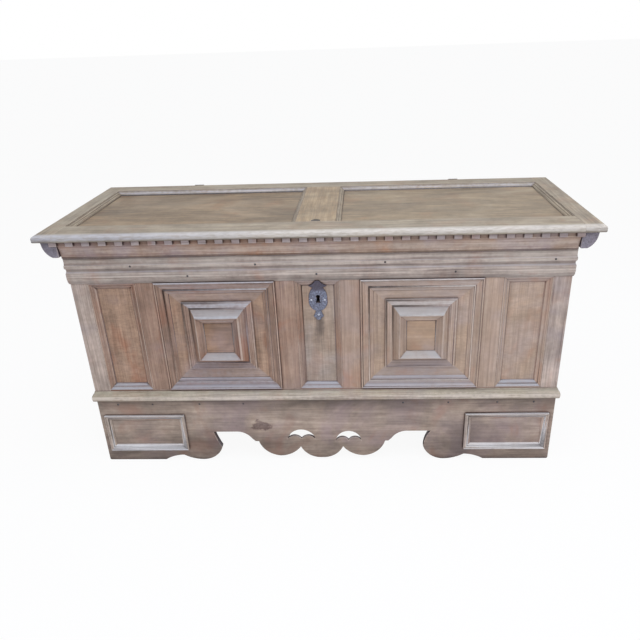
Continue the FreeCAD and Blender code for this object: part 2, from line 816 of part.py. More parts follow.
def hinge_pin():
    start = hinge_left_edge() - pin_overhang
    return barrel(start, hinge_width + 2 * pin_overhang, hinge_pin_radius)


def catch():
    """The iron strap that hangs from the lid into the lock, with an eye for the bolt."""
    half = catch_width / 2
    front = case_front_y + catch_setback
    bottom = lid_bottom - catch_drop
    strap = box((-half, half), (front, front + catch_thickness), (bottom, lid_top))
    clench = box((-half, half), (front, front + clench_depth),
                 (lid_top - clench_thickness, lid_top))
    eye = box((-eye_width / 2, eye_width / 2), (front - eye_depth, front),
              (bottom, bottom + eye_height))
    hole = box((-eye_width, eye_width), (front - eye_depth + eye_wall, front - eye_wall),
               (bottom + eye_wall, bottom + eye_height - eye_wall))
    return strap.fuse(clench).fuse(eye.cut(hole))


def lock_case():
    """The iron box behind the keyhole: back plate, walls, cover and the bolt's guide."""
    top = case_top - lock_plate_top_margin
    plate_half = lock_plate_width / 2
    plate = box((-plate_half, plate_half), (frame_back_y, frame_back_y + lock_wall),
                (top - lock_plate_height, top))
    half = lock_width / 2
    box_top = case_top - lock_top_margin
    deep = frame_back_y + lock_depth
    shell = box((-half, half), (frame_back_y, deep), (box_top - lock_height, box_top))
    room = box((lock_wall - half, half - lock_wall), (frame_back_y + lock_wall, deep - lock_wall),
               (box_top - lock_height + lock_wall, box_top - lock_wall))
    catch_front = case_front_y + catch_setback
    slot = box((-catch_width / 2 - lock_slot_gap, catch_width / 2 + lock_slot_gap),
               (catch_front - eye_depth - 2 * lock_slot_gap,
                catch_front + catch_thickness + lock_slot_gap),
               (box_top - lock_wall - overrun, box_top + overrun))
    guide_end = bolt_end_x - bolt_clearance
    tall = bolt_height / 2 + bolt_clearance
    thick = bolt_thickness / 2 + bolt_clearance
    guide = box((guide_end - bolt_guide_length, guide_end),
                (frame_back_y + lock_wall, bolt_middle_y + thick + bolt_guide_wall),
                (bolt_middle_z - tall - bolt_guide_wall, bolt_middle_z + tall + bolt_guide_wall))
    channel = box((guide_end - bolt_guide_length - overrun, guide_end + overrun),
                  (bolt_middle_y - thick, bolt_middle_y + thick),
                  (bolt_middle_z - tall, bolt_middle_z + tall))
    return plate.fuse(shell).cut(room).fuse(guide.cut(channel)).cut(slot).cut(keyhole())


def lock_bolt():
    """The sliding bolt, drawn back: a bar, a tail down to the key and a talon for its bit."""
    thick = (bolt_middle_y - bolt_thickness / 2, bolt_middle_y + bolt_thickness / 2)
    tail_x = bolt_end_x - bolt_length
    bar = box((tail_x, bolt_end_x), thick,
              (bolt_middle_z - bolt_height / 2, bolt_middle_z + bolt_height / 2))
    tail_y = (thick[0], thick[0] + bolt_tail_thickness)
    foot = keyhole_height + keyhole_length / 2
    tail = box((tail_x, tail_x + bolt_tail_width), tail_y, (foot, bolt_middle_z))
    arm_end = bolt_end_x - bolt_tail_width / 2
    arm = box((tail_x, arm_end), tail_y, (foot, foot + bolt_height))
    talon = Part.makeCylinder(bolt_talon_depth, bolt_tail_thickness + 2 * overrun,
                              V(arm_end - bolt_tail_width, tail_y[0] - overrun, foot),
                              V(0, 1, 0))
    return bar.fuse(tail).fuse(arm.cut(talon))


def escutcheon_steps():
    """Right half of the escutcheon's edge, from the lower tip to the bend, from the keyhole."""
    wide = escutcheon_half_width
    tip = -escutcheon_tip_drop
    middle = -escutcheon_roundel_drop
    lobe = escutcheon_roundel_radius
    notch = escutcheon_notch_half_width
    neck = escutcheon_neck_half_width
    return (
        (0, tip),
        (notch * 4 / 5, tip + notch / 4, notch, tip + notch),
        (lobe, middle - lobe / 3, lobe * 4 / 5, middle + lobe / 10),
        (notch * 5 / 4, middle + lobe / 2, neck, middle + lobe * 4 / 5),
        (neck, -escutcheon_neck_drop),
        (wide * 9 / 10, -escutcheon_neck_drop * 3 / 5, wide, 0),
        (wide * 5 / 6, escutcheon_shoulder_rise * 2 / 3, wide / 2, escutcheon_shoulder_rise),
    )


def finial_steps():
    """Right half of the finial's edge, from the bend upwards."""
    bend = escutcheon_shoulder_rise
    wing = bend + finial_wing_rise
    top = escutcheon_finial_rise
    return (
        (escutcheon_half_width / 2, bend),
        (escutcheon_half_width, wing),
        (finial_half_width * 4 / 3, (wing + top) / 2, finial_half_width, (wing + 2 * top) / 3),
        (finial_half_width * 3 / 4, top - finial_half_width / 4, 0, top),
    )


def symmetric_plate(half_steps, y, thickness):
    """A flat plate whose edge is a half outline and its mirror image."""
    edges = outline(half_steps, lambda x, z: V(x, y, z + keyhole_height))
    edges += outline(half_steps, lambda x, z: V(-x, y, z + keyhole_height))
    for x, z in (half_steps[0], half_steps[-1][-2:]):
        if abs(x) > join_tolerance:
            edges.append(Part.makeLine(V(x, y, z + keyhole_height), V(-x, y, z + keyhole_height)))
    face = Part.Face(Part.Wire(Part.sortEdges(edges)[0]))
    return face.extrude(V(0, -thickness, 0))


def finial_lean():
    """How far the finial leans out, in degrees, to pass over the panel's moulding."""
    run = plain_band + finial_overlap
    return math.degrees(math.atan2(plain_panel_setback + finial_clearance, run))


def escutcheon():
    """The iron keyhole plate: a flat shield and a finial bent out over the moulding."""
    shield = symmetric_plate(escutcheon_steps(), plain_field_y, escutcheon_thickness)
    finial = symmetric_plate(finial_steps(), plain_field_y, escutcheon_thickness)
    finial.rotate(V(0, plain_field_y, keyhole_height + escutcheon_shoulder_rise),
                  V(1, 0, 0), finial_lean())
    return shield.fuse(finial).cut(keyhole())


def escutcheon_nails():
    """Two nails beside the keyhole and one in the roundel."""
    side_x = escutcheon_half_width - escutcheon_nail_inset
    side_z = keyhole_height - escutcheon_nail_drop
    places = ((-side_x, side_z), (side_x, side_z), (0, keyhole_height - escutcheon_roundel_drop))
    return nails_at(places, plain_field_y - escutcheon_thickness, short_nail_length)


def case_nails():
    """Nails through the frieze, the plinth and the lock plate."""
    upper = opening_top + frieze_upper_nail_height_share * frieze_height
    lower = opening_top + frieze_lower_nail_height_share * frieze_height
    upper_y = case_front_y - frieze_upper_face_share * frieze_projection
    lower_y = case_front_y - frieze_lower_face_share * frieze_projection
    nails = nails_at([(share * case_half, upper) for share in frieze_upper_nail_shares],
                     upper_y, nail_length)
    nails += nails_at([(share * case_half, lower) for share in frieze_lower_nail_shares],
                      lower_y, nail_length)
    board_z = floor_bottom + plinth_nail_height_share * floor_thickness
    nails += nails_at([(share * case_half, board_z) for share in plinth_nail_shares],
                      plinth_front_y, plinth_thickness + nail_length)
    return nails


def lock_nails():
    """Nails at the corners of the lock plate, driven from inside the chest."""
    x = lock_plate_width / 2 - lock_nail_inset
    top = case_top - lock_plate_top_margin - lock_nail_inset
    bottom = case_top - lock_plate_top_margin - lock_plate_height + lock_nail_inset
    driven = nail(nail_length)
    driven.rotate(V(0, 0, 0), V(0, 0, 1), 2 * quarter_turn)
    face_y = frame_back_y + lock_wall
    return [moved(driven, side * x, face_y, z) for side in (-1, 1) for z in (bottom, top)]


def hinge_nails():
    """Two nails through each case leaf into the back rail."""
    driven = nail(nail_length)
    driven.rotate(V(0, 0, 0), V(0, 0, 1), 2 * quarter_turn)
    face_y = case_back_y + leaf_thickness
    nails = []
    for row in range(2):
        z = hinge_axis_z - leaf_nail_top_drop - row * leaf_nail_spacing
        nails += both_sides(moved(driven, hinge_spacing / 2, face_y, z))
    return nails


def frame_pieces():
    """Posts, rails, muntins and boards of the case, jointed and grooved to each other."""
    front_post = post(case_front_y, case_front_y + post_width)
    rear_post = post(case_back_y - post_width, case_back_y)
    top_rail = cross_rail(case_front_y, opening_top, case_top)
    bottom_rail = cross_rail(case_front_y, plinth_height, opening_bottom)
    rear_face = case_back_y - frame_thickness
    rear_top = cross_rail(rear_face, case_top - back_rail_height, case_top)
    rear_bottom = cross_rail(rear_face, plinth_height, opening_bottom)
    side_rails = [side_rail(plinth_height, opening_bottom), side_rail(opening_top, case_top)]
    muntins = [muntin(inner_muntin_x, inner_muntin_width),
               muntin(outer_muntin_x, outer_muntin_width)]
    large = front_panel(large_opening_x, large_opening, large_field_y)
    narrow = front_panel(narrow_opening_x, narrow_opening, plain_field_y)
    centre = front_panel(-inner_muntin_x, centre_opening, plain_field_y)
    side_board = side_panel()
    boards = back_boards()

    for joined in [top_rail, bottom_rail, narrow, side_board] + side_rails:
        front_post = front_post.cut(joined)
    for joined in [rear_top, rear_bottom, side_board] + side_rails + boards:
        rear_post = rear_post.cut(joined)
    for joined in both_sides(large) + both_sides(narrow) + [centre] + \
            [half for piece in muntins for half in both_sides(piece)]:
        top_rail = top_rail.cut(joined)
        bottom_rail = bottom_rail.cut(joined)
    grooved_muntins = []
    for piece in muntins:
        for board in (large, narrow, centre):
            piece = piece.cut(board)
        grooved_muntins += both_sides(piece)
    for board in boards:
        rear_top = rear_top.cut(board)
        rear_bottom = rear_bottom.cut(board)
    side_rails = [rail.cut(side_board) for rail in side_rails]
    return {
        "front_posts": both_sides(front_post),
        "rear_posts": both_sides(rear_post),
        "front_top_rail": [top_rail],
        "front_bottom_rail": [bottom_rail],
        "front_muntins": grooved_muntins,
        "narrow_panels": both_sides(narrow),
        "large_panel_left": [mirror_x(large)],
        "large_panel_right": [large],
        "centre_panel": [centre.cut(keyhole())],
        "side_rails": [half for rail in side_rails for half in both_sides(rail)],
        "side_panels": both_sides(side_board),
        "back_rails": [rear_bottom, rear_top],
        "back_boards": boards,
    }


def panel_mouldings():
    """The mitred mouldings of the panels and the raised bosses."""
    plain_rise = plain_panel_setback + plain_arris
    narrow = moved(mitred_ring(narrow_opening, opening_height, plain_band, plain_rise,
                               plain_profile_shares), narrow_centre_x, plain_field_y,
                   opening_middle)
    centre = moved(mitred_ring(centre_opening, opening_height, plain_band, plain_rise,
                               plain_profile_shares), 0, plain_field_y, opening_middle)
    side = mitred_ring(case_depth - 2 * post_width, opening_height, plain_band, plain_rise,
                       plain_profile_shares)
    side.rotate(V(0, 0, 0), V(0, 0, 1), quarter_turn)
    side = moved(side, case_half - plain_panel_setback, case_middle_y, opening_middle)
    large = mitred_ring(large_opening, opening_height, large_band,
                        large_panel_setback + large_proud, large_profile_shares)
    step = mitred_ring(boss_width + 2 * step_band, boss_height + 2 * step_band, step_band,
                       step_rise, step_profile_shares)
    boss = mitred_ring(boss_width, boss_height, boss_band, boss_rise, boss_profile_shares)
    field_half_x = boss_width / 2 - boss_band
    field_half_z = boss_height / 2 - boss_band
    field = box((-field_half_x, field_half_x), (-boss_field_rise, 0),
                (-field_half_z, field_half_z))
    nodes = {
        "narrow_mouldings": narrow.Solids + mirror_x(narrow).Solids,
        "centre_moulding": centre.Solids,
        "side_mouldings": side.Solids + mirror_x(side).Solids,
        "boss_fields": both_sides(moved(field, large_centre_x, large_field_y, boss_middle)),
    }
    for name, ring, middle_z in (("large", large, opening_middle), ("step", step, boss_middle),
                                 ("boss", boss, boss_middle)):
        for side_name, side_sign in (("left", -1), ("right", 1)):
            placed = moved(ring, side_sign * large_centre_x, large_field_y, middle_z)
            nodes[name + "_moulding_" + side_name] = placed.Solids
    return nodes


def wall_mouldings():
    """The frieze and the base moulding round the front and the two sides."""
    nodes = {}
    for name, foot, height, projection, shares in (
            ("frieze", opening_top, frieze_height, frieze_projection, frieze_profile_shares),
            ("base_moulding", plinth_height, base_height, base_projection,
             base_profile_shares)):
        front = wall_moulding(case_width, height, projection, shares, (True, True))
        side = wall_moulding(case_depth, height, projection, shares, (True, False))
        side.rotate(V(0, 0, 0), V(0, 0, 1), quarter_turn)
        side = moved(side, case_half, case_middle_y, foot)
        nodes[name + "_front"] = [moved(front, 0, case_front_y, foot)]
        nodes[name + "_right"] = [side]
        nodes[name + "_left"] = [mirror_x(side)]
    return nodes


def plinth_pieces():
    foot_x = plinth_half - foot_frame_end_margin - foot_frame_length / 2
    foot_z = foot_frame_floor_margin + foot_frame_height / 2
    frame = mitred_ring(foot_frame_length, foot_frame_height, foot_frame_band, foot_frame_rise,
                        foot_profile_shares)
    side = plinth_side()
    return {
        "plinth_front": [plinth_front()],
        "plinth_left": [mirror_x(side)],
        "plinth_right": [side],
        "plinth_back": [plinth_back()],
        "foot_frame_left": moved(frame, -foot_x, plinth_front_y, foot_z).Solids,
        "foot_frame_right": moved(frame, foot_x, plinth_front_y, foot_z).Solids,
        "corner_blocks": corner_blocks(),
        "bearers": bearers(),
        "floor_boards": floor_boards(),
    }


def lid_pieces():
    front, rear, end_right, end_left, upright = lid_frame()
    leaves = both_sides(lid_leaf())
    for leaf in leaves:
        rear = rear.cut(leaf)
    strap = catch()
    pocket = box((-catch_width / 2 - catch_slot_gap, catch_width / 2 + catch_slot_gap),
                 (case_front_y + catch_setback - catch_slot_gap,
                  case_front_y + catch_setback + catch_thickness + catch_slot_gap),
                 (lid_bottom - overrun, lid_top + overrun))
    upright = upright.cut(pocket).cut(strap)
    front = front.cut(pocket).cut(strap)
    return {
        "lid_front_rail": [front],
        "lid_rear_rail": [rear],
        "lid_end_left": [end_left],
        "lid_end_right": [end_right],
        "lid_muntin": [upright],
        "lid_panels": both_sides(lid_panel()),
        "lid_mouldings": lid_mouldings(),
        "lid_skirt": [skirt()],
        "lid_cleats": both_sides(cleat()),
        "lid_dentils": dentils(),
        "lid_catch": [strap],
        "hinge_lid_leaves": leaves,
    }


def iron_pieces():
    return {
        "escutcheon": [escutcheon()],
        "escutcheon_nails": escutcheon_nails(),
        "lock_case": [lock_case()],
        "lock_bolt": [lock_bolt()],
        "case_nails": case_nails(),
        "lock_nails": lock_nails(),
        "hinge_case_leaves": both_sides(case_leaf()),
        "hinge_pins": both_sides(hinge_pin()),
        "hinge_nails": hinge_nails(),
    }


def bore_for(nodes, nail_node, drilled_nodes):
    """Cut the nails' holes in the pieces that they go through."""
    for name in drilled_nodes:
        drilled = []
        for solid in nodes[name]:
            for driven in nodes[nail_node]:
                if solid.BoundBox.intersect(driven.BoundBox):
                    solid = solid.cut(driven)
            drilled.append(solid)
        nodes[name] = drilled


nodes = {}
nodes.update(frame_pieces())
nodes.update(panel_mouldings())
nodes.update(wall_mouldings())
nodes.update(plinth_pieces())
nodes.update(lid_pieces())
nodes.update(iron_pieces())
bore_for(nodes, "escutcheon_nails", ("escutcheon", "centre_panel"))
bore_for(nodes, "case_nails", ("frieze_front", "front_top_rail", "front_posts", "plinth_front",
                               "floor_boards", "corner_blocks"))
bore_for(nodes, "lock_nails", ("lock_case", "front_top_rail", "front_muntins"))
bore_for(nodes, "hinge_nails", ("hinge_case_leaves", "back_rails"))

for name, solids in nodes.items():
    shape = solids[0] if len(solids) == 1 else Part.makeCompound(solids)
    shape.exportStep(os.path.join("parts", name + ".step"))
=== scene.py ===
import math
from collections import namedtuple

import bpy
from mathutils import Matrix, Vector


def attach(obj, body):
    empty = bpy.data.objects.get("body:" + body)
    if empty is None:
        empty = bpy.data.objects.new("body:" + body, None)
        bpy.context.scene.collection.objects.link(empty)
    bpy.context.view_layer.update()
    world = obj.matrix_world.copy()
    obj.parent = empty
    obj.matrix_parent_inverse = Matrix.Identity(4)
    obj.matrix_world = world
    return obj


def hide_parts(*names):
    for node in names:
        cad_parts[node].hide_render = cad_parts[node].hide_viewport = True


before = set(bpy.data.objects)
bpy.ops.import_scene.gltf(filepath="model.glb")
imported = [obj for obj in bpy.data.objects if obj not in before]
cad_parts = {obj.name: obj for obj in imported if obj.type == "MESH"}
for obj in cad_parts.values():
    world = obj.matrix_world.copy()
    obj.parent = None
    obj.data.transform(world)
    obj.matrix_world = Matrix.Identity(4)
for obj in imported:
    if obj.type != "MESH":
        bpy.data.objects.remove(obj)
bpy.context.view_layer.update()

# An old panelled chest in worn, pickled walnut, with an iron keyhole plate.
# Every member of the chest but the nails is copied and its arrises are worn round. Wood gets a
# finish whose grain runs along the member or round its frame, and iron gets a pitted, rusty one.
# The wood's finish also paints light and shade into its colour: painted shade in creases and
# hollows, bands of painted shade and highlight across the profiles, and paler faces where light
# falls.


def tone(code):
    """A linear colour from the six figures of a paint code."""
    channels = [int(code[start:start + 2], 16) / 255 for start in (0, 2, 4)]
    return [c / 12.92 if c < 0.04045 else ((c + 0.055) / 1.055) ** 2.4 for c in channels] + [1.0]


# Drawing the finishes

def blank_finish(name):
    """A new finish, its node tree and its surface shader."""
    finish = bpy.data.materials.new(name)
    finish.use_nodes = True
    tree = finish.node_tree
    return finish, tree, tree.nodes["Principled BSDF"]


def node(tree, kind, inputs=None, **settings):
    """Adds a node. Each input is either a fixed value or another node's output."""
    made = tree.nodes.new("ShaderNode" + kind)
    for key, value in settings.items():
        setattr(made, key, value)
    for key, value in (inputs or {}).items():
        if isinstance(value, bpy.types.NodeSocket):
            tree.links.new(value, made.inputs[key])
        else:
            made.inputs[key].default_value = value
    return made


def calc(tree, operation, first, second=0.0, third=0.0):
    """One sum on two or three values."""
    made = node(tree, "Math", {0: first, 1: second, 2: third}, operation=operation)
    return made.outputs["Value"]


def between(tree, value, low, high, to_low=0.0, to_high=1.0):
    """A value carried smoothly from one range into another, and held at its ends."""
    made = node(tree, "MapRange", {"Value": value, "From Min": low, "From Max": high,
                                   "To Min": to_low, "To Max": to_high},
                interpolation_type="SMOOTHSTEP")
    return made.outputs["Result"]


def noise(tree, place, scale, detail=3.0, roughness=0.55, distortion=0.0):
    """A soft cloudy pattern between 0 and 1."""
    made = node(tree, "TexNoise", {"Vector": place, "Scale": scale, "Detail": detail,
                                   "Roughness": roughness, "Distortion": distortion})
    return made.outputs["Fac"]


def stretched(tree, place, scale, shift):
    """Coordinates squeezed along the grain, so that the pattern is long there."""
    made = node(tree, "Mapping", {"Vector": place, "Scale": scale, "Location": shift})
    return made.outputs["Vector"]


def ramp(tree, factor, stops):
    """Colours or greys at their places along a factor."""
    made = node(tree, "ValToRGB", {"Fac": factor})
    bar = made.color_ramp.elements
    while len(bar) < len(stops):
        bar.new(0.5)
    for element, (place, colour) in zip(bar, stops):
        element.position = place
        element.color = colour if isinstance(colour, list) else (colour, colour, colour, 1.0)
    return made.outputs["Color"]


def mixed(tree, blend, factor, under, over):
    """One colour laid over another."""
    made = node(tree, "MixRGB", {"Fac": factor, "Color1": under, "Color2": over},
                blend_type=blend)
    return made.outputs["Color"]


# An even grey leaves the wood under it as it is, and is also the middle of every noise.
EVEN = 0.5
# The shares by which streaks and fibres are drawn out along the grain
STREAK_SHARE = 0.05
FIBRE_SHARE = 0.016
# How far from the middle of the streaks the darkest and the palest wood lie
FIGURE_REACH = 0.38
# How far off a neighbouring face still casts painted shade into a crease, and softer painted shade
# into a hollow, in metres
CREASE_REACH = 0.007
HOLLOW_REACH = 0.032
SHELTER_SAMPLES = 8
# The least roughness of the wood, how much its fibres add, and the depth of its relief in metres
LEAST_ROUGHNESS = 0.41
FIBRE_ROUGHNESS = 0.22
WOOD_SPECULAR = 0.35
WOOD_RELIEF = 0.0009

Ring = namedtuple("Ring", "middle_x half_x axis middle half width")


def ring_of(name, axis="Z", mirrored=True):
    """Where a mitred frame lies, read from its solids: its middle and half length across the
    chest and along its other axis, and the width of its moulding. Frames that stand on both
    sides of the chest's middle share one ring, on its right."""
    corners = [corner.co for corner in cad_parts[name].data.vertices]
    over = [abs(corner.x) if mirrored else corner.x for corner in corners]
    along = [corner["XYZ".index(axis)] for corner in corners]
    middle_x = (min(over) + max(over)) / 2
    half_x = (max(over) - min(over)) / 2
    opening = min(abs(x - middle_x) for x in over)
    return Ring(middle_x, half_x, axis, (min(along) + max(along)) / 2,
                (max(along) - min(along)) / 2, half_x - opening)


def heights(name):
    """The lowest and the highest level of a member."""
    levels = [corner.co.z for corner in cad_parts[name].data.vertices]
    return min(levels), max(levels)


class Board:
    """A wooden finish at work: the patterns that its layers follow, and its colour so far."""

    def __init__(self, name, grain, shift, ring):
        self.finish, self.tree, self.surface = blank_finish(name)
        coordinates = node(self.tree, "TexCoord").outputs
        self.place = coordinates["Object"]
        self.across = node(self.tree, "SeparateXYZ", {"Vector": self.place}).outputs
        self.facing = node(self.tree, "SeparateXYZ", {"Vector": coordinates["Normal"]}).outputs
        self.grain = grain
        self.shift = shift
        # Each finish is cut from another place of the same endless pattern.
        self.offset = (shift, shift * 0.7, shift * 1.3)
        self.ring = ring
        if ring:
            self.find_lengths()
        streak_place = self.along_grain(STREAK_SHARE)
        fibre_place = self.along_grain(FIBRE_SHARE)
        self.streak = self.noise(streak_place, scale=110.0, detail=8.0, roughness=0.66,
                                 distortion=0.5)
        self.fibre = self.noise(fibre_place, scale=420.0, roughness=0.6)
        self.checks = self.noise(fibre_place, scale=150.0, detail=2.0, roughness=0.5,
                                 distortion=0.3)
        self.patch = self.noise(self.place, scale=5.0, detail=4.0, roughness=0.6, distortion=0.8)
        self.cloud = self.noise(self.moved((3.1, 1.7, 5.3)), scale=16.0, detail=4.0,
                                roughness=0.65)
        spots = self.noise(self.moved((5.1, 4.3, 2.2)), scale=75.0, roughness=0.6)
        short_streak = self.noise(streak_place, scale=48.0, detail=4.0, roughness=0.6)
        self.mottle = self.sum_of(spots, 0.5, short_streak, 0.5)
        self.uneven = self.calc("SUBTRACT", self.mottle, EVEN)
        self.colour = None

    def find_lengths(self):
        """Tells the ring's upright lengths from its level ones, and its upper half from its
        lower, and measures from its outer edge."""
        ring = self.ring
        over = self.calc("SUBTRACT", self.calc("ABSOLUTE", self.across["X"]), ring.middle_x)
        along = self.calc("SUBTRACT", self.across[ring.axis], ring.middle)
        from_side = self.calc("SUBTRACT", ring.half_x, self.calc("ABSOLUTE", over))
        from_end = self.calc("SUBTRACT", ring.half, self.calc("ABSOLUTE", along))
        self.upright = self.calc("LESS_THAN", from_side, from_end)
        self.upper = self.calc("GREATER_THAN", self.across[ring.axis], ring.middle)
        self.from_edge = self.calc("MINIMUM", from_side, from_end)

    def along_grain(self, share):
        """Coordinates drawn out along the grain, which turns at a ring's mitres."""
        if not self.ring:
            return stretched(self.tree, self.place, drawn_out(self.grain, share), self.offset)
        level = stretched(self.tree, self.place, drawn_out("X", share), self.offset)
        upright = stretched(self.tree, self.place, drawn_out(self.ring.axis, share), self.offset)
        made = node(self.tree, "Mix", {0: self.upright, 4: level, 5: upright}, data_type="VECTOR")
        return made.outputs[1]

    def moved(self, shift, scale=(1.0, 1.0, 1.0)):
        return stretched(self.tree, self.place, scale, shift)

    def noise(self, place, **settings):
        return noise(self.tree, place, **settings)

    def calc(self, operation, first, second=0.0, third=0.0):
        return calc(self.tree, operation, first, second, third)

    def sum_of(self, first, first_share, second, second_share):
        """Two patterns added up, each by its share."""
        return self.calc("MULTIPLY_ADD", first, first_share,
                         self.calc("MULTIPLY", second, second_share))

    def within(self, pattern, start, full, least=0.0, most=1.0):
        """How much of a layer lies where a pattern runs from one value to another."""
        return between(self.tree, pattern, start, full, least, most)

    def shade(self, pattern, strength, dark, light):
        """Darkens and lightens the wood by a pattern, from a dark grey's place to a light one's."""
        greys = ramp(self.tree, pattern, [dark, light])
        self.colour = mixed(self.tree, "OVERLAY", strength, self.colour, greys)

    def tint(self, share, paint):
        """Lays a paint, given by its code or as a colour, over the wood."""
        paint = tone(paint) if isinstance(paint, str) else paint
        self.colour = mixed(self.tree, "MIX", share, self.colour, paint)

    def darken(self, share, paint):
        """Stains the wood with a paint that its own colour shows through."""
        paint = tone(paint) if isinstance(paint, str) else paint
        self.colour = mixed(self.tree, "MULTIPLY", share, self.colour, paint)


def drawn_out(axis, share):
    """A scale that draws a pattern out along one axis."""
    return tuple(share if letter == axis else 1.0 for letter in "XYZ")


def lay_ground(board, dark, middle, pale, figure):
    """The wood's own tones along its streaks, clouded and mottled."""
    reach = FIGURE_REACH / figure
    board.colour = ramp(board.tree, board.streak, [
        (EVEN - reach, tone(dark)), (EVEN, tone(middle)), (EVEN + reach, tone(pale))])
    board.shade(board.cloud, strength=0.7, dark=(0.30, 0.36), light=(0.70, 0.62))
    board.shade(board.mottle, strength=0.6, dark=(0.32, 0.38), light=(0.68, 0.62))


def lay_patches(board, bloom, bloom_share, warm, warm_share):
    """Greyer and warmer wood in broad patches."""
    board.tint(board.within(board.patch, start=0.42, full=0.72, most=bloom_share), bloom)
    blush = board.noise(board.moved((7.7, 2.9, 1.1 + board.shift), scale=(1.0, 1.0, 0.7)),
                        scale=9.0, roughness=0.6, distortion=0.6)
    board.tint(board.within(blush, start=0.50, full=0.74, most=warm_share), warm)


def lay_ripple(board, strength):
    """Waves across an upright grain."""
    waves = board.noise(board.moved(board.offset, scale=(0.25, 1.0, 1.0)), scale=150.0,
                        roughness=0.55, distortion=0.8)
    board.shade(waves, strength, dark=(0.38, 0.40), light=(0.62, 0.60))


def lay_drift(board, strength):
    """Slow changes of shade along a board."""
    drift = board.noise(board.moved((2.3 + board.shift, 6.1, 1.9), scale=(0.5, 1.6, 1.6)),
                        scale=6.0, detail=4.0, roughness=0.6, distortion=0.7)
    board.shade(drift, strength, dark=(0.36, 0.34), light=(0.64, 0.64))


def lay_fibres(board, thread_share, check_share):
    """Fine fibres, and short dark checks between them."""
    board.shade(board.fibre, thread_share, dark=(0.30, 0.34), light=(0.66, 0.62))
    board.darken(board.within(board.checks, start=0.62, full=0.72, most=check_share), "8E7A78")


def spot_distance(board, centre, size, pattern, raggedness):
    """How far a point is from a spot's centre, in shares of the spot's size, ragged by a
    pattern."""
    spot = node(board.tree, "Mapping", {
        "Vector": board.place, "Scale": [1 / reach for reach in size],
        "Location": [-middle / reach for middle, reach in zip(centre, size)]}).outputs["Vector"]
    spread = node(board.tree, "VectorMath", {0: spot}, operation="LENGTH").outputs["Value"]
    return board.calc("MULTIPLY_ADD", board.calc("SUBTRACT", pattern, EVEN), raggedness, spread)


def lay_knot(board, centre, size):
    """A dark, ragged whorl."""
    spread = spot_distance(board, centre, size, board.mottle, raggedness=3.6)
    whorl = ramp(board.tree, spread, [
        (0.05, tone("8A7C84")), (0.30, tone("B4A8AC")), (0.50, tone("968890")),
        (0.85, tone("D2C8C8")), (1.0, tone("FFFFFF"))])
    board.darken(0.9, whorl)


def lay_fade(board, strength):
    """Painted light: the chest's left half is painted a little darker, and its right half paler and
    warmer, as if more light fell on it.
    """
    aged = board.within(board.across["X"], start=-0.25, full=0.30)
    board.darken(board.calc("SUBTRACT", 1.0, aged), "F8F0EC")
    board.tint(board.calc("MULTIPLY", aged, strength), "D2BBA4")


def lay_front_bleach(board, strength):
    """Painted highlight: a pale grey on faces that are turned to the front, where the light falls.
    """
    turned = board.within(board.facing["Y"], start=-0.20, full=-0.75, most=strength)
    broken = board.within(board.mottle, start=0.42, full=0.58, least=0.45)
    board.tint(board.calc("MULTIPLY", turned, broken), "C3C3CC")


def lay_level_tint(board, paint, top_share, bottom_share):
    """Painted light: a pale grey on a ring's level lengths, by one share on its top and another on
    its bottom.
    """
    share = board.calc("MULTIPLY_ADD", board.upper, top_share - bottom_share, bottom_share)
    share = board.calc("MULTIPLY", share, board.calc("SUBTRACT", 1.0, board.upright))
    broken = board.within(board.mottle, start=0.36, full=0.60, least=0.6, most=1.2)
    board.tint(board.calc("MULTIPLY", share, broken), paint)


def band_level(board, bands, band_heights):
    """How dark or pale each band over a profile is, as painted shade and painted highlight, with
    slightly wandering edges. A ring has its own bands on its sides, its top and its bottom, which
    the light falls on differently."""
    if board.ring:
        place = board.calc("DIVIDE", board.from_edge, board.ring.width)
    else:
        low, high = band_heights
        place = board.calc("DIVIDE", board.calc("SUBTRACT", board.across["Z"], low), high - low)
    place = board.calc("MULTIPLY_ADD", board.uneven, 0.05, place)
    if not board.ring:
        return ramp(board.tree, place, bands)
    sides, top, bottom = [ramp(board.tree, place, stops) for stops in bands]
    level = mixed(board.tree, "MIX", board.upper, bottom, top)
    return mixed(board.tree, "MIX", board.upright, level, sides)


def lay_bands(board, bands, band_heights):
    """Painted shade and painted highlight over a profile: bands below the even grey are darker, and
    bands above it paler."""
    level = band_level(board, bands, band_heights)
    board.darken(1.0, board.calc("MINIMUM", 1.0, board.calc("DIVIDE", level, EVEN)))
    marks = board.sum_of(board.mottle, 0.5, board.streak, 0.5)
    broken = board.within(marks, start=0.40, full=0.58, least=0.7, most=2.0)
    raised = board.calc("MAXIMUM", 0.0, board.calc("SUBTRACT", level, EVEN))
    # The pale paint of the raised bands is a painted highlight: warm on a ring's sides, and on its
    # level lengths bluer to the left and warmer to the right.
    chalk = tone("DCCFC0")
    if board.ring:
        rightwards = board.within(board.across["X"], start=-0.1, full=0.3)
        level_chalk = mixed(board.tree, "MIX", rightwards, tone("CBCCD0"), tone("D2CCC4"))
        chalk = mixed(board.tree, "MIX", board.upright, level_chalk, chalk)
    board.tint(board.calc("MULTIPLY", raised, broken), chalk)


def lay_dust(board, dust, dust_from, dust_full, dust_tone):
    """Dust and painted top light: a pale paint on faces that look up, broken by clouds."""
    lying = board.within(board.facing["Z"], start=dust_from, full=dust_full, most=dust)
    broken = board.within(board.cloud, start=0.25, full=0.60, least=0.55)
    board.tint(board.calc("MULTIPLY", lying, broken), dust_tone)


def lay_end_grain(board):
    """Darker wood where the grain comes out of a member's end."""
    turned = board.calc("ABSOLUTE", board.facing[board.grain])
    board.darken(board.within(turned, start=0.80, full=0.97, most=0.55), "8A7F80")


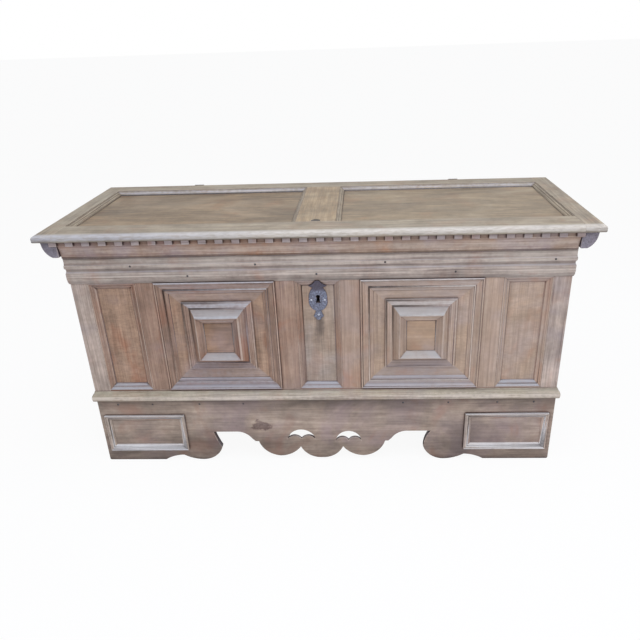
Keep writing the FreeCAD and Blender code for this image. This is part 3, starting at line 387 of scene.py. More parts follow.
def lay_nosing_chalk(board, inner_y, outer_y, low_z, high_z, strength):
    """Painted highlight along the lid's rounded front edge, in short drawn-out strokes."""
    near = board.calc("MULTIPLY", board.within(board.across["Y"], inner_y, outer_y, most=strength),
                      board.within(board.across["Z"], low_z, high_z))
    strokes = board.noise(board.moved(board.offset, scale=(0.2, 1.0, 1.0)), scale=220.0,
                          roughness=0.6)
    broken = board.within(strokes, start=0.36, full=0.60, least=0.66, most=1.05)
    rightwards = board.within(board.across["X"], start=-0.7, full=0.1)
    chalk = mixed(board.tree, "MIX", rightwards, tone("B9B9BE"), tone("D2CCC3"))
    board.tint(board.calc("MULTIPLY", near, broken), chalk)


def lay_stain(board, centre, size, strength, paint):
    """A soft stain that is darkest in its middle."""
    spread = spot_distance(board, centre, size, board.cloud, raggedness=1.1)
    board.darken(board.within(spread, start=1.05, full=0.25, most=strength), paint)


def lay_rubbing(board, strength):
    """Paler wood where an arris is rubbed."""
    streaky = board.within(board.streak, start=0.36, full=0.60, least=0.2, most=strength)
    broken = board.within(board.mottle, start=0.40, full=0.58, least=0.3)
    board.tint(board.calc("MULTIPLY", streaky, broken), "DCCDBA")


def lay_grime(board, grime, soil):
    """Painted shade: darker colour in the creases and, softer, in the hollows, where neighbouring
    faces shelter them.
    """
    crease = node(board.tree, "AmbientOcclusion", {"Distance": CREASE_REACH},
                  samples=SHELTER_SAMPLES).outputs["AO"]
    corners = ramp(board.tree, crease, [(0.30, tone("33262A")), (0.52, tone("7C6868")),
                                        (0.74, tone("D6CAC8")), (0.92, tone("FFFFFF"))])
    board.darken(grime, corners)
    hollow = node(board.tree, "AmbientOcclusion", {"Distance": HOLLOW_REACH},
                  samples=SHELTER_SAMPLES).outputs["AO"]
    soiled = board.within(hollow, start=0.92, full=0.50, most=soil)
    broken = board.within(board.cloud, start=0.36, full=0.60, least=0.35)
    board.darken(board.calc("MULTIPLY", soiled, broken), "80706F")


def close_surface(board):
    """Joins the finished colour, the sheen and the relief of the grain to the shader."""
    tree = board.tree
    surface = board.surface
    tree.links.new(board.colour, surface.inputs["Base Color"])
    sheen = board.calc("MULTIPLY_ADD", board.fibre, FIBRE_ROUGHNESS, LEAST_ROUGHNESS)
    tree.links.new(sheen, surface.inputs["Roughness"])
    surface.inputs["Specular IOR Level"].default_value = WOOD_SPECULAR
    relief = board.sum_of(board.streak, 0.6, board.fibre, 0.4)
    bump = node(tree, "Bump", {"Strength": 0.5, "Distance": WOOD_RELIEF, "Height": relief})
    tree.links.new(bump.outputs["Normal"], surface.inputs["Normal"])


def wood(name, grain, dark, middle, pale, shift=0.0, ring=None, figure=1.0, bloom="9D9296",
         bloom_share=0.45, warm="A0684A", warm_share=0.5, ripple=0.0, broad=0.0,
         thread_share=0.55, check_share=0.55, knot=None, fade=0.0, bleach=0.0, level_tint=None,
         bands=None, band_heights=None, dust=0.35, dust_from=0.08, dust_full=0.50,
         dust_tone="C6C4CC", nosing_chalk=None, stain=None, wear=0.0, grime=0.85, soil=0.7):
    """Aged walnut in layers, from the bare wood outwards. The grain runs along one axis, or round a
    mitred frame. Some layers are painted light and shade: a paler right half, highlights on faces
    turned to the front, light on a ring's level lengths, bands across the profiles, top light with
    the dust, a highlight on the lid's nosing and shade in creases and hollows."""
    board = Board(name, grain, shift, ring)
    lay_ground(board, dark, middle, pale, figure)
    lay_patches(board, bloom, bloom_share, warm, warm_share)
    if ripple:
        lay_ripple(board, ripple)
    if broad:
        lay_drift(board, broad)
    lay_fibres(board, thread_share, check_share)
    if knot:
        lay_knot(board, **knot)
    if fade:
        lay_fade(board, fade)
    if bleach:
        lay_front_bleach(board, bleach)
    if level_tint:
        lay_level_tint(board, *level_tint)
    if bands:
        lay_bands(board, bands, band_heights)
    lay_dust(board, dust, dust_from, dust_full, dust_tone)
    if not ring:
        lay_end_grain(board)
    if nosing_chalk:
        lay_nosing_chalk(board, **nosing_chalk)
    if stain:
        lay_stain(board, **stain)
    if wear:
        lay_rubbing(board, wear)
    lay_grime(board, grime, soil)
    close_surface(board)
    return board.finish


# Iron: half the height over which it turns darker towards the top, and the depth of its pits, in
# metres
RUST_EDGE = 0.006
PIT_DEPTH = 0.0006
PIT_ROUGHNESS = 0.3
LEAST_IRON_ROUGHNESS = 0.38
IRON_METALLIC = 0.35


def forged_iron(name, base="5B5C66", bright="8D8F9B", rust="6B4636", rust_share=0.5,
                rusty_above=None):
    """Hand-forged iron, dark and pitted, with brown rust in patches."""
    finish, tree, surface = blank_finish(name)
    place = node(tree, "TexCoord").outputs["Object"]
    pits = noise(tree, place, 260.0, 5.0, 0.7)
    patches = noise(tree, place, 60.0, 4.0, 0.65, 0.4)
    colour = ramp(tree, pits, [(0.30, tone("2B2A2E")), (0.50, tone(base)), (0.72, tone(bright))])
    colour = mixed(tree, "MIX", between(tree, patches, 0.50, 0.70, 0.0, rust_share), colour,
                   tone(rust))
    # Above a given height the iron turns darker.
    if rusty_above:
        height = node(tree, "SeparateXYZ", {"Vector": place}).outputs["Z"]
        rusty = between(tree, height, rusty_above - RUST_EDGE, rusty_above + RUST_EDGE, 0.0, 0.8)
        colour = mixed(tree, "MIX", rusty, colour, tone("4F4650"))
    tree.links.new(colour, surface.inputs["Base Color"])
    surface.inputs["Metallic"].default_value = IRON_METALLIC
    roughness = calc(tree, "MULTIPLY_ADD", pits, PIT_ROUGHNESS, LEAST_IRON_ROUGHNESS)
    tree.links.new(roughness, surface.inputs["Roughness"])
    bump = node(tree, "Bump", {"Strength": 0.6, "Distance": PIT_DEPTH, "Height": pits})
    tree.links.new(bump.outputs["Normal"], surface.inputs["Normal"])
    return finish


# Working the pieces

# Corners nearer than this, in metres, are one corner.
CORNER_GAP = 0.00002
FLAT_ANGLE = math.radians(0.5)
ANY_CORNER = math.radians(180)
# Edges sharper than this are worn, in this many steps, and flatter ones are shaded smooth.
ARRIS_ANGLE = math.radians(34)
ARRIS_STEPS = 2
SMOOTH_ANGLE = math.radians(38)
FACE_WEIGHT = 80


def only(piece):
    """Selects one piece and nothing else."""
    bpy.ops.object.select_all(action="DESELECT")
    piece.select_set(True)
    bpy.context.view_layer.objects.active = piece


def worked_copy(name):
    """A copy of a member of the chest with its loose triangles merged into whole faces."""
    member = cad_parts[name]
    piece = member.copy()
    piece.data = member.data.copy()
    piece.name = name + "_worn"
    piece.parent = None
    for key in [key for key in piece.keys() if key.startswith("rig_")]:
        del piece[key]
    bpy.context.scene.collection.objects.link(piece)
    only(piece)
    bpy.ops.object.mode_set(mode="EDIT")
    bpy.ops.mesh.select_all(action="SELECT")
    bpy.ops.mesh.remove_doubles(threshold=CORNER_GAP)
    bpy.ops.mesh.tris_convert_to_quads(face_threshold=FLAT_ANGLE, shape_threshold=ANY_CORNER)
    bpy.ops.object.mode_set(mode="OBJECT")
    return piece


def wear_arrises(piece, width, finish, worn_finish):
    """Rounds the sharp edges by wear, and gives the rounding its own paler finish."""
    piece.data.materials.clear()
    piece.data.materials.append(finish)
    piece.data.materials.append(worn_finish)
    only(piece)
    bpy.ops.object.modifier_add(type="BEVEL")
    bevel = piece.modifiers[-1]
    bevel.width = width
    bevel.segments = ARRIS_STEPS
    bevel.limit_method = "ANGLE"
    bevel.angle_limit = ARRIS_ANGLE
    bevel.use_clamp_overlap = False
    bevel.material = 1
    bpy.ops.object.modifier_apply(modifier=bevel.name)
    bpy.ops.object.shade_smooth_by_angle(angle=SMOOTH_ANGLE)
    bpy.ops.object.modifier_add(type="WEIGHTED_NORMAL")
    weighted = piece.modifiers[-1]
    weighted.keep_sharp = True
    weighted.weight = FACE_WEIGHT
    bpy.ops.object.modifier_apply(modifier=weighted.name)


def finish_member(name, body, slot, finish, worn_finish, width):
    """Puts a worn copy in a member's place, on the same body."""
    piece = worked_copy(name)
    wear_arrises(piece, width, finish, worn_finish)
    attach(piece, body)
    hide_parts(name)


# The finishes of this chest. Paints are six-figure codes, and shares and strengths run from 0
# to about 1. Bands of painted shade and painted highlight cross a moulding or a board: each has
# its place, as a share of the way from a ring's outer edge inwards or from a board's foot to its
# top, and its level. Painted light on a ring's level lengths has its paint and its shares on a
# ring's top and on its bottom. Other settings paint the right half of the chest paler, paint
# highlights on faces turned to the front, and add painted top light to the dust on faces that look
# up.

FRONT = dict(dark="644A3C", middle="9E8573", pale="CAB6A4", figure=0.72, fade=0.24,
             warm_share=0.5, check_share=0.45)
FIELD = dict(dark="6C5442", middle="A48B75", pale="C4AC96", figure=0.6, fade=0.20,
             warm_share=0.55, ripple=0.45, broad=0.3, check_share=0.3)
POST = dict(dark="705F55", middle="B19F91", pale="D5C5B7", warm_share=0.35, figure=0.85,
            broad=0.4)
FRIEZE = dict(dark="6E5D54", middle="A4958A", pale="CDC2B6", bloom="B7AEA2", warm_share=0.3,
              broad=0.45, figure=1.2)
LID = dict(dark="544430", middle="86765B", pale="B2A489", bloom="A0967F", bloom_share=0.4,
           warm="8A6848", warm_share=0.4, figure=1.25, broad=0.4)
LID_PANEL = dict(dark="483A2A", middle="7B6A4F", pale="A6957A", bloom="9A8D76", bloom_share=0.45,
                 warm="7E5C3E", warm_share=0.45, figure=0.95, broad=0.95, fade=0.08,
                 check_share=0.3)
LID_MUNTIN = dict(dark="5A4632", middle="8E7859", pale="B8A484", bloom="A8987C", bloom_share=0.4,
                  warm="94704C", warm_share=0.4, figure=0.85, broad=0.5, check_share=0.3)
BASE = dict(dark="6A584E", middle="9C8A7A", pale="B8A898", figure=0.42, bloom="927F80",
            bloom_share=0.6, warm="967260", warm_share=0.6, broad=0.95, check_share=0.25,
            thread_share=0.3)
INNER = dict(dark="5E4636", middle="8C6F57", pale="AB9078", bloom="96877C")


ARRIS_RUBBING = 0.65


def with_wear(name, *settings, **values):
    """A finish and its paler twin for worn arrises."""
    fresh = wood(name, *settings, **values)
    paler = wood(name + "_arris", *settings, **dict(values, wear=ARRIS_RUBBING, bands=None))
    return fresh, paler


upright_wood = with_wear("upright_walnut", "Z", **FRONT)
post_wood = with_wear("post_walnut", "Z", shift=0.6, **POST)
rail_wood = with_wear("rail_walnut", "X", shift=1.3, **FRONT)
side_rail_wood = with_wear("side_rail_walnut", "Y", shift=2.3, **FRONT)
panel_wood = with_wear("panel_walnut", "Z", shift=3.7, **FIELD)
IRON_STAIN = dict(centre=(0.0, -0.266, 0.525), size=(0.024, 0.2, 0.072), strength=0.62,
                  paint="74727E")
centre_wood = with_wear("centre_panel_walnut", "Z", shift=4.9, stain=IRON_STAIN,
                        **dict(FIELD, dark="6A5A4C", middle="9D8C7B", pale="BBAC9C",
                               warm_share=0.2, bloom="9C9896", bloom_share=0.6))
side_panel_wood = with_wear("side_panel_walnut", "Z", shift=6.1, **FIELD)
LARGE_RING = ring_of("large_moulding_right")
large_field_wood = with_wear("large_panel_walnut", "X", shift=5.2, ring=LARGE_RING, grime=0.4,
                             soil=0.45, level_tint=("9E9696", 0.25, 0.42), **FIELD)
boss_field_wood = with_wear("boss_field_walnut", "X", shift=8.4, dark="6A4E3E",
                            middle="9A7E64", pale="B2987E", figure=0.35, warm_share=0.5, fade=0.2,
                            soil=1.0, broad=0.8, check_share=0.0, thread_share=0.2)

LARGE_TOP = [(0.0, 0.58), (0.04, 0.90), (0.11, 0.96), (0.16, 0.48), (0.24, 0.52), (0.42, 0.60),
             (0.54, 0.50), (0.62, 0.92), (0.69, 1.0), (0.74, 0.52), (0.82, 0.54), (0.92, 0.64),
             (1.0, 0.46)]
LARGE_BOTTOM = [(0.0, 0.40), (0.06, 0.44), (0.13, 0.64), (0.22, 0.60), (0.30, 0.38), (0.38, 0.33),
                (0.52, 0.60), (0.68, 0.72), (0.75, 0.42), (0.84, 0.40), (0.92, 0.50), (1.0, 0.32)]
large_left_wood = with_wear(
    "large_left_moulding_walnut", "X", shift=7.5, dust=0.5, dust_tone="AEB0B8", grime=0.5,
    ring=LARGE_RING, level_tint=("948F96", 0.15, 0.55),
    bands=([(0.0, 0.58), (0.08, 0.66), (0.13, 0.36), (0.20, 0.44), (0.32, 0.36), (0.45, 0.44),
            (0.55, 0.36), (0.66, 0.48), (0.71, 0.34), (0.78, 0.46), (0.88, 0.38), (0.93, 0.48),
            (1.0, 0.38)],
           LARGE_TOP, LARGE_BOTTOM), **FRONT)
large_right_wood = with_wear(
    "large_right_moulding_walnut", "X", shift=7.9, dust=0.5, dust_tone="B5B5BC", grime=0.5,
    ring=LARGE_RING, level_tint=("9C989C", 0.15, 0.50),
    bands=([(0.0, 0.56), (0.08, 0.60), (0.13, 0.34), (0.20, 0.54), (0.34, 0.46), (0.46, 0.54),
            (0.54, 0.46), (0.66, 0.84), (0.71, 0.40), (0.78, 0.54), (0.86, 0.44), (0.93, 0.56),
            (1.0, 0.42)],
           LARGE_TOP, LARGE_BOTTOM), **FRONT)
step_wood = with_wear(
    "step_moulding_walnut", "X", shift=9.1, dust=0.3, dust_tone="A8A2AC", grime=0.35, soil=0.3,
    level_tint=("9E969A", 0.45, 0.40), ring=ring_of("step_moulding_right"),
    bands=([(0.0, 0.74), (0.14, 0.66), (0.24, 0.36), (0.36, 0.60), (0.50, 0.42), (0.62, 0.62),
            (0.72, 0.44), (0.80, 0.54), (0.88, 0.38), (1.0, 0.32)],
           [(0.0, 0.95), (0.10, 0.66), (0.20, 1.0), (0.28, 0.74), (0.42, 1.0), (0.56, 0.72),
            (0.70, 0.94), (0.82, 1.0), (0.92, 0.76), (1.0, 0.44)],
           [(0.0, 0.56), (0.22, 0.34), (0.42, 0.42), (0.60, 0.38), (0.82, 0.48), (1.0, 0.28)]),
    **FRONT)
boss_wood = with_wear(
    "boss_walnut", "X", shift=10.4, dust=0.55, dust_tone="B0B7BB", grime=0.7,
    ring=ring_of("boss_moulding_right"),
    bands=([(0.0, 0.46), (0.06, 0.52), (0.14, 0.60), (0.20, 0.46), (0.28, 0.62), (0.34, 0.52),
            (0.41, 0.86), (0.49, 0.56), (0.56, 0.42), (0.66, 0.45), (0.78, 0.36), (0.90, 0.42),
            (1.0, 0.30)],
           [(0.0, 0.46), (0.08, 0.54), (0.32, 0.60), (0.40, 0.94), (0.48, 0.90), (0.54, 0.66),
            (0.64, 0.50), (0.80, 0.62), (1.0, 0.50)],
           [(0.0, 0.46), (0.30, 0.44), (0.46, 0.50), (0.54, 0.58), (0.62, 0.48), (0.75, 0.43),
            (0.90, 0.48), (1.0, 0.40)]), **FRONT)
PLAIN_SIDES = [(0.0, 0.66), (0.10, 0.68), (0.16, 0.44), (0.38, 0.52), (0.46, 0.60), (0.52, 0.40),
               (0.66, 0.54), (0.84, 0.66), (0.92, 0.56), (1.0, 0.40)]
PLAIN_TOP = [(0.0, 0.62), (0.12, 0.64), (0.20, 0.50), (0.50, 0.46), (0.60, 0.50), (0.97, 0.46)]
PLAIN_BOTTOM = [(0.0, 0.26), (0.05, 0.64), (0.18, 0.62), (0.28, 0.38), (0.44, 0.54), (0.56, 0.40),
                (0.75, 0.46), (0.92, 0.60), (1.0, 0.44)]
narrow_frame_wood = with_wear(
    "narrow_moulding_walnut", "X", shift=11.2, dust=0.5, dust_tone="B3B7BE",
    ring=ring_of("narrow_mouldings"), bands=(PLAIN_SIDES, PLAIN_TOP, PLAIN_BOTTOM),
    level_tint=("A0A2A8", 0.1, 0.6), **FRONT)
centre_frame_wood = with_wear(
    "centre_moulding_walnut", "X", shift=12.6, dust=0.5, dust_tone="B1B4BC",
    ring=ring_of("centre_moulding", mirrored=False), level_tint=("A0A2A8", 0.2, 0.6),
    bands=([(0.0, 0.56), (0.10, 0.58), (0.18, 0.42), (0.40, 0.46), (0.52, 0.36), (0.66, 0.42),
            (0.84, 0.40), (1.0, 0.42)], PLAIN_TOP, PLAIN_BOTTOM), **FRONT)
side_frame_wood = with_wear("side_moulding_walnut", "Z", shift=13.3, dust=0.4, **FRONT)
frieze_wood = with_wear(
    "frieze_walnut", "X", shift=14.7, dust=0.4, band_heights=heights("frieze_front"),
    bands=[(0.0, 0.40), (0.05, 0.36), (0.24, 0.52), (0.28, 0.78), (0.32, 0.42), (0.38, 0.64),
           (0.45, 0.46), (0.54, 0.34), (0.62, 0.60), (0.70, 0.72), (0.74, 0.64), (0.77, 0.48),
           (0.84, 0.70), (0.93, 0.66), (0.97, 0.42), (1.0, 0.26)],
    **FRIEZE)
side_frieze_wood = with_wear("side_frieze_walnut", "Y", shift=15.9, dust=0.4, **FRIEZE)
base_frame_wood = with_wear(
    "base_moulding_walnut", "X", shift=16.8, dust=0.3, dust_tone="CCC7B2",
    band_heights=heights("base_moulding_front"),
    bands=[(0.0, 0.32), (0.08, 0.68), (0.20, 0.82), (0.36, 0.86), (0.46, 0.82), (0.52, 0.72),
           (0.56, 0.42), (0.62, 0.64), (0.72, 0.52), (0.85, 0.44), (0.96, 0.40), (1.0, 0.26)],
    dark="6B5A4A", middle="9A8D78", pale="C6BCA7", warm_share=0.25, figure=1.4)
side_base_wood = with_wear("side_base_walnut", "Y", shift=17.4, dust=0.6,
                           dark="6B5A4C", middle="9C8D7B", pale="C6BBAC")

PLINTH_KNOT = dict(centre=(-0.2205, -0.29, 0.147), size=(0.034, 0.2, 0.024))
plinth_wood = with_wear(
    "plinth_walnut", "X", shift=18.6, dust=0.3, knot=PLINTH_KNOT,
    band_heights=heights("plinth_front"),
    bands=[(0.0, 0.36), (0.28, 0.40), (0.45, 0.48), (0.60, 0.54), (0.80, 0.53), (0.88, 0.41),
           (0.95, 0.34), (1.0, 0.26)], **BASE)
side_plinth_wood = with_wear("side_plinth_walnut", "Y", shift=19.7, dust=0.3, **BASE)
# The foot frames carry a strong painted top light, and pale bands of painted highlight on their
# bottom lengths.
foot_frame_wood = with_wear(
    "foot_frame_walnut", "X", shift=20.2, grime=0.4, soil=0.3, dust=0.85, dust_from=0.04,
    dust_full=0.30, dust_tone="DAD8D6", ring=ring_of("foot_frame_right"),
    bands=([(0.0, 0.70), (0.14, 0.72), (0.22, 0.66), (0.44, 0.86), (0.60, 0.70), (0.80, 0.62),
            (0.97, 0.46)],
           [(0.0, 0.38), (0.06, 0.50), (0.12, 0.76), (0.24, 0.76), (0.50, 0.60), (0.97, 0.48)],
           [(0.0, 1.0), (0.10, 1.0), (0.20, 0.98), (1.0, 0.94)]),
    **BASE)

# The bands of painted shade and highlight on the lid's edge start a little below it.
EDGE_LOW, EDGE_HIGH = heights("lid_front_rail")
EDGE_DROP = 0.007
NOSING_CHALK = dict(inner_y=-0.309, outer_y=-0.335, low_z=0.843, high_z=0.856, strength=0.72)
LID_EDGE = dict(dust=0.10, nosing_chalk=NOSING_CHALK,
                band_heights=(EDGE_LOW - EDGE_DROP, EDGE_HIGH),
                bands=[(0.0, 0.50), (0.25, 0.48), (0.36, 0.34), (0.46, 0.46), (0.60, 0.56),
                       (1.0, 0.51)])
lid_rail_wood = with_wear("lid_rail_walnut", "X", shift=21.5, **LID_EDGE, **LID)
lid_end_wood = with_wear("lid_end_walnut", "Y", shift=22.6, **LID_EDGE, **LID)
CLENCH_RUST = dict(centre=(0.002, -0.213, 0.866), size=(0.018, 0.010, 0.2), strength=1.0,
                   paint="4A4448")
lid_muntin_wood = with_wear("lid_muntin_walnut", "Y", shift=22.1, dust=0.05,
                            stain=CLENCH_RUST, **LID_MUNTIN)
lid_panel_wood = with_wear("lid_panel_walnut", "X", shift=23.8, dust=0.03, **LID_PANEL)
lid_frame_wood = with_wear(
    "lid_moulding_walnut", "X", shift=24.4, dust=0.06, bleach=0.60,
    ring=ring_of("lid_mouldings", axis="Y"),
    bands=([(0.0, 0.40), (0.10, 0.70), (0.20, 0.24), (0.36, 0.66), (0.50, 0.26), (0.64, 0.62),
            (0.78, 0.34), (0.90, 0.52), (0.97, 0.12)],
           [(0.0, 0.40), (0.10, 0.56), (0.22, 0.42), (0.40, 0.56), (0.80, 0.54), (0.88, 0.10),
            (1.0, 0.04)],
           [(0.0, 0.40), (0.10, 0.64), (0.20, 0.26), (0.40, 0.56), (0.60, 0.34), (0.85, 0.50),
            (0.97, 0.14)]),
    **LID)
# The skirt's bands of painted shade and highlight hang a little below its edges.
SKIRT_DROP = 0.003
SKIRT_LEVELS = [level - SKIRT_DROP for level in heights("lid_skirt")]
skirt_wood = with_wear(
    "skirt_walnut", "X", shift=25.7, dust=0.4, band_heights=SKIRT_LEVELS,
    bands=[(0.0, 0.22), (0.07, 0.16), (0.13, 0.40), (0.30, 0.66), (0.44, 0.66), (0.58, 0.58),
           (0.67, 0.47), (0.73, 0.46), (1.0, 0.46)],
    **dict(FRONT, bloom="9E939C", bloom_share=0.6, warm="AE7850", warm_share=0.6, fade=0.08))
# The dentils are paler wood than the skirt behind them: painted light on their faces against the
# darker skirt.
dentil_wood = with_wear("dentil_walnut", "X", shift=26.3, dust=0.4, dark="7A6A66",
                        middle="B4A6A2", pale="D0C6C2")
cleat_wood = with_wear("cleat_walnut", "Y", shift=27.1, dust=0.4, dark="706C76",
                       middle="A6A2AC", pale="C4C0C8", bloom="B0ACB6", warm_share=0.15)
inner_wood_x = with_wear("inner_board", "X", shift=28.9, dust=0.1, **INNER)
inner_wood_y = with_wear("inner_batten", "Y", shift=29.5, dust=0.1, **INNER)
inner_wood_z = with_wear("inner_post", "Z", shift=30.5, dust=0.1, **INNER)

plate_iron = forged_iron("plate_iron", base="6C6F7E", bright="A9AFC2", rust_share=0.2,
                         rusty_above=0.650)
lock_iron = forged_iron("lock_iron", base="2A2828", bright="4C4A4A", rust_share=0.4)
hidden_iron = forged_iron("hinge_iron", base="302D2E", bright="4E4A4A", rust="4A352A",
                          rust_share=0.6)
nail_iron = forged_iron("nail_iron", base="C4C8D2", bright="F0F2F6", rust_share=0.1)
old_nail_iron = forged_iron("old_nail_iron", base="3E3836", rust="4A3428", rust_share=0.7)

# Every wooden member, with the body that it moves with, its slot, its finish and the width of
# its worn arrises in metres
MEMBERS = (
    ("front_posts", "case", "frame_wood", post_wood, 0.0016),
    ("front_top_rail", "case", "frame_wood", rail_wood, 0.0008),
    ("front_bottom_rail", "case", "frame_wood", rail_wood, 0.0008),
    ("front_muntins", "case", "frame_wood", upright_wood, 0.0009),
    ("narrow_panels", "case", "panel_wood", panel_wood, 0.0008),
    ("large_panel_left", "case", "panel_wood", large_field_wood, 0.0008),
    ("large_panel_right", "case", "panel_wood", large_field_wood, 0.0008),
    ("centre_panel", "case", "panel_wood", centre_wood, 0.0005),
    ("side_rails", "case", "frame_wood", side_rail_wood, 0.0009),
    ("side_panels", "case", "panel_wood", side_panel_wood, 0.0008),
    ("boss_fields", "case", "panel_wood", boss_field_wood, 0.0008),
    ("large_moulding_left", "case", "moulding_wood", large_left_wood, 0.00045),
    ("large_moulding_right", "case", "moulding_wood", large_right_wood, 0.00045),
    ("step_moulding_left", "case", "moulding_wood", step_wood, 0.0004),
    ("step_moulding_right", "case", "moulding_wood", step_wood, 0.0004),
    ("boss_moulding_left", "case", "moulding_wood", boss_wood, 0.00035),
    ("boss_moulding_right", "case", "moulding_wood", boss_wood, 0.00035),
    ("narrow_mouldings", "case", "moulding_wood", narrow_frame_wood, 0.0003),
    ("centre_moulding", "case", "moulding_wood", centre_frame_wood, 0.0003),
    ("side_mouldings", "case", "moulding_wood", side_frame_wood, 0.0003),
    ("frieze_front", "case", "moulding_wood", frieze_wood, 0.0004),
    ("frieze_left", "case", "moulding_wood", side_frieze_wood, 0.0004),
    ("frieze_right", "case", "moulding_wood", side_frieze_wood, 0.0004),
    ("base_moulding_front", "case", "moulding_wood", base_frame_wood, 0.0005),
    ("base_moulding_left", "case", "moulding_wood", side_base_wood, 0.0005),
    ("base_moulding_right", "case", "moulding_wood", side_base_wood, 0.0005),
    ("plinth_front", "case", "plinth_wood", plinth_wood, 0.0012),
    ("plinth_left", "case", "plinth_wood", side_plinth_wood, 0.0014),
    ("plinth_right", "case", "plinth_wood", side_plinth_wood, 0.0014),
    ("plinth_back", "case", "plinth_wood", plinth_wood, 0.0014),
    ("foot_frame_left", "case", "plinth_wood", foot_frame_wood, 0.0003),
    ("foot_frame_right", "case", "plinth_wood", foot_frame_wood, 0.0003),
    ("rear_posts", "case", "inner_wood", inner_wood_z, 0.0014),
    ("back_rails", "case", "inner_wood", inner_wood_x, 0.0009),
    ("back_boards", "case", "inner_wood", inner_wood_x, 0.0009),
    ("floor_boards", "case", "inner_wood", inner_wood_x, 0.0009),
    ("bearers", "case", "inner_wood", inner_wood_y, 0.0014),
    ("corner_blocks", "case", "inner_wood", inner_wood_z, 0.0014),
    ("lid_front_rail", "lid", "lid_wood", lid_rail_wood, 0.0004),
    ("lid_rear_rail", "lid", "lid_wood", lid_rail_wood, 0.0004),
    ("lid_end_left", "lid", "lid_wood", lid_end_wood, 0.0004),
    ("lid_end_right", "lid", "lid_wood", lid_end_wood, 0.0004),
    ("lid_muntin", "lid", "lid_wood", lid_muntin_wood, 0.0010),
    ("lid_panels", "lid", "lid_wood", lid_panel_wood, 0.0006),
    ("lid_mouldings", "lid", "lid_wood", lid_frame_wood, 0.0003),
    ("lid_skirt", "lid", "lid_wood", skirt_wood, 0.0008),
    ("lid_dentils", "lid", "lid_wood", dentil_wood, 0.0012),
    ("lid_cleats", "lid", "lid_wood", cleat_wood, 0.0012),
)
for name, body, slot, (finish, worn), width in MEMBERS:
    finish_member(name, body, slot, finish, worn, width)

# Every forged piece but the nails, with its body, its finish and its worn width
IRONWORK = (
    ("escutcheon", "case", plate_iron, 0.0005),
    ("lock_case", "case", lock_iron, 0.0005),
    ("lock_bolt", "bolt", lock_iron, 0.0005),
    ("lid_catch", "lid", hidden_iron, 0.0005),
    ("hinge_case_leaves", "case", hidden_iron, 0.0005),
    ("hinge_lid_leaves", "lid", hidden_iron, 0.0005),
    ("hinge_pins", "case", hidden_iron, 0.0004),
)
for name, body, finish, width in IRONWORK:
    finish_member(name, body, "iron", finish, finish, width)

NAILS = (
    ("escutcheon_nails", nail_iron),
    ("case_nails", old_nail_iron),
    ("lock_nails", nail_iron),
    ("hinge_nails", nail_iron),
)
for name, finish in NAILS:
    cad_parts[name].data.materials.clear()
    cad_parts[name].data.materials.append(finish)


# The room: pale floor, white backdrop, soft light and the camera

WHITE = (1.0, 1.0, 1.0, 1.0)
FLOOR_LENGTH = 120.0
# How much of the floor the camera sees as plain white: the rest of it keeps the shadow.
FLOOR_WHITE_SHARE = 0.93
SENSOR_WIDTH = 36.0
LENS_LENGTH = 34.963
CAMERA_PLACE = (0.1489, -2.1020, 1.3899)


def stage_floor():
    """A wide pale floor that keeps the chest's shadow."""
    bpy.ops.object.select_all(action="DESELECT")
    bpy.ops.mesh.primitive_plane_add(size=FLOOR_LENGTH, location=(0.0, 0.0, 0.0))
    floor = bpy.context.active_object
    floor.name = "studio_floor"
    finish, tree, surface = blank_finish("studio_floor_paint")
    surface.inputs["Base Color"].default_value = tone("F4F4F4")
    surface.inputs["Roughness"].default_value = 0.9
    seen = node(tree, "LightPath").outputs["Is Camera Ray"]
    white = node(tree, "Emission", {"Color": WHITE, "Strength": 1.0})
    pale = node(tree, "MixShader", {0: calc(tree, "MULTIPLY", seen, FLOOR_WHITE_SHARE),
                                    1: surface.outputs["BSDF"], 2: white.outputs["Emission"]})
    tree.links.new(pale.outputs["Shader"], tree.nodes["Material Output"].inputs["Surface"])
    floor.data.materials.append(finish)


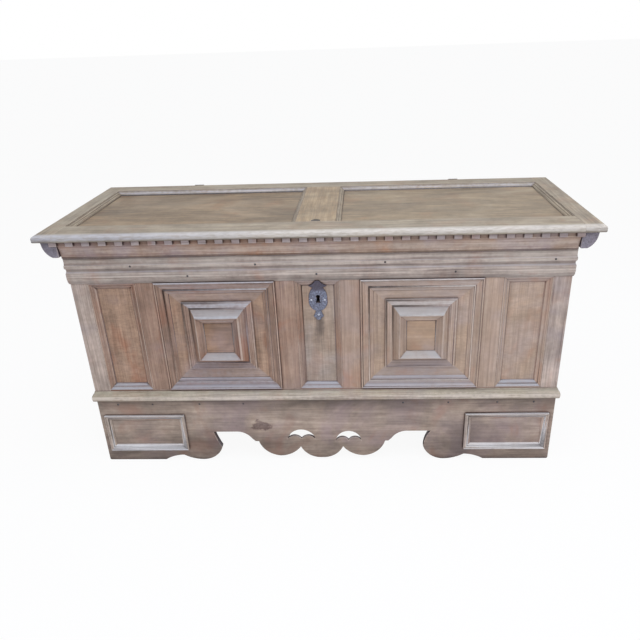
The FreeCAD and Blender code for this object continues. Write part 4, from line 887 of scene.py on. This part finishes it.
def soft_lamp(name, place, target, width, depth, power, colour):
    """A broad lamp turned to its target."""
    lamp = bpy.data.lights.new(name, "AREA")
    lamp.shape = "RECTANGLE"
    lamp.size = width
    lamp.size_y = depth
    lamp.energy = power
    lamp.color = tone(colour)[:3]
    holder = bpy.data.objects.new(name, lamp)
    holder.location = place
    aim = Vector(target) - Vector(place)
    holder.rotation_euler = aim.to_track_quat("-Z", "Y").to_euler()
    bpy.context.scene.collection.objects.link(holder)


def studio_light():
    """Soft air all round with a white backdrop, and two broad lamps."""
    world = bpy.data.worlds.new("studio_air")
    bpy.context.scene.world = world
    world.use_nodes = True
    tree = world.node_tree
    tree.nodes.clear()
    rays = node(tree, "LightPath").outputs
    seen = calc(tree, "MAXIMUM", rays["Is Camera Ray"],
                calc(tree, "MAXIMUM", rays["Is Glossy Ray"], rays["Is Transmission Ray"]))
    air = node(tree, "Background", {"Color": tone("E9EDF6"), "Strength": 0.55})
    backdrop = node(tree, "Background", {"Color": WHITE, "Strength": 1.0})
    blend = node(tree, "MixShader", {0: seen, 1: air.outputs[0], 2: backdrop.outputs[0]})
    out = node(tree, "OutputWorld", {"Surface": blend.outputs[0]})
    out.is_active_output = True
    soft_lamp("overhead_softbox", place=(0.3, -0.9, 2.9), target=(0.0, -0.1, 0.5), width=3.2,
              depth=2.2, power=56.0, colour="EEF3FF")
    soft_lamp("front_softbox", place=(0.9, -3.2, 1.7), target=(0.1, 0.0, 0.45), width=2.6,
              depth=1.6, power=30.0, colour="F6F5FF")


def photographers_camera():
    """The camera that was fitted to the photograph's straight edges."""
    view = bpy.data.cameras.new("photographers_camera")
    view.sensor_width = SENSOR_WIDTH
    view.lens = LENS_LENGTH
    view.shift_x = -0.0258
    view.shift_y = 0.0176
    stand = bpy.data.objects.new("photographers_camera", view)
    right = Vector((0.998873, 0.035787, -0.031174))
    up = Vector((0.012528, 0.434742, 0.900468))
    back = Vector((0.045778, -0.899844, 0.433803))
    turn = Matrix((right, up, back)).transposed().to_4x4()
    stand.matrix_world = Matrix.Translation(CAMERA_PLACE) @ turn
    bpy.context.scene.collection.objects.link(stand)
    bpy.context.scene.camera = stand


stage_floor()
studio_light()
photographers_camera()
bpy.context.scene.view_settings.view_transform = "Standard"
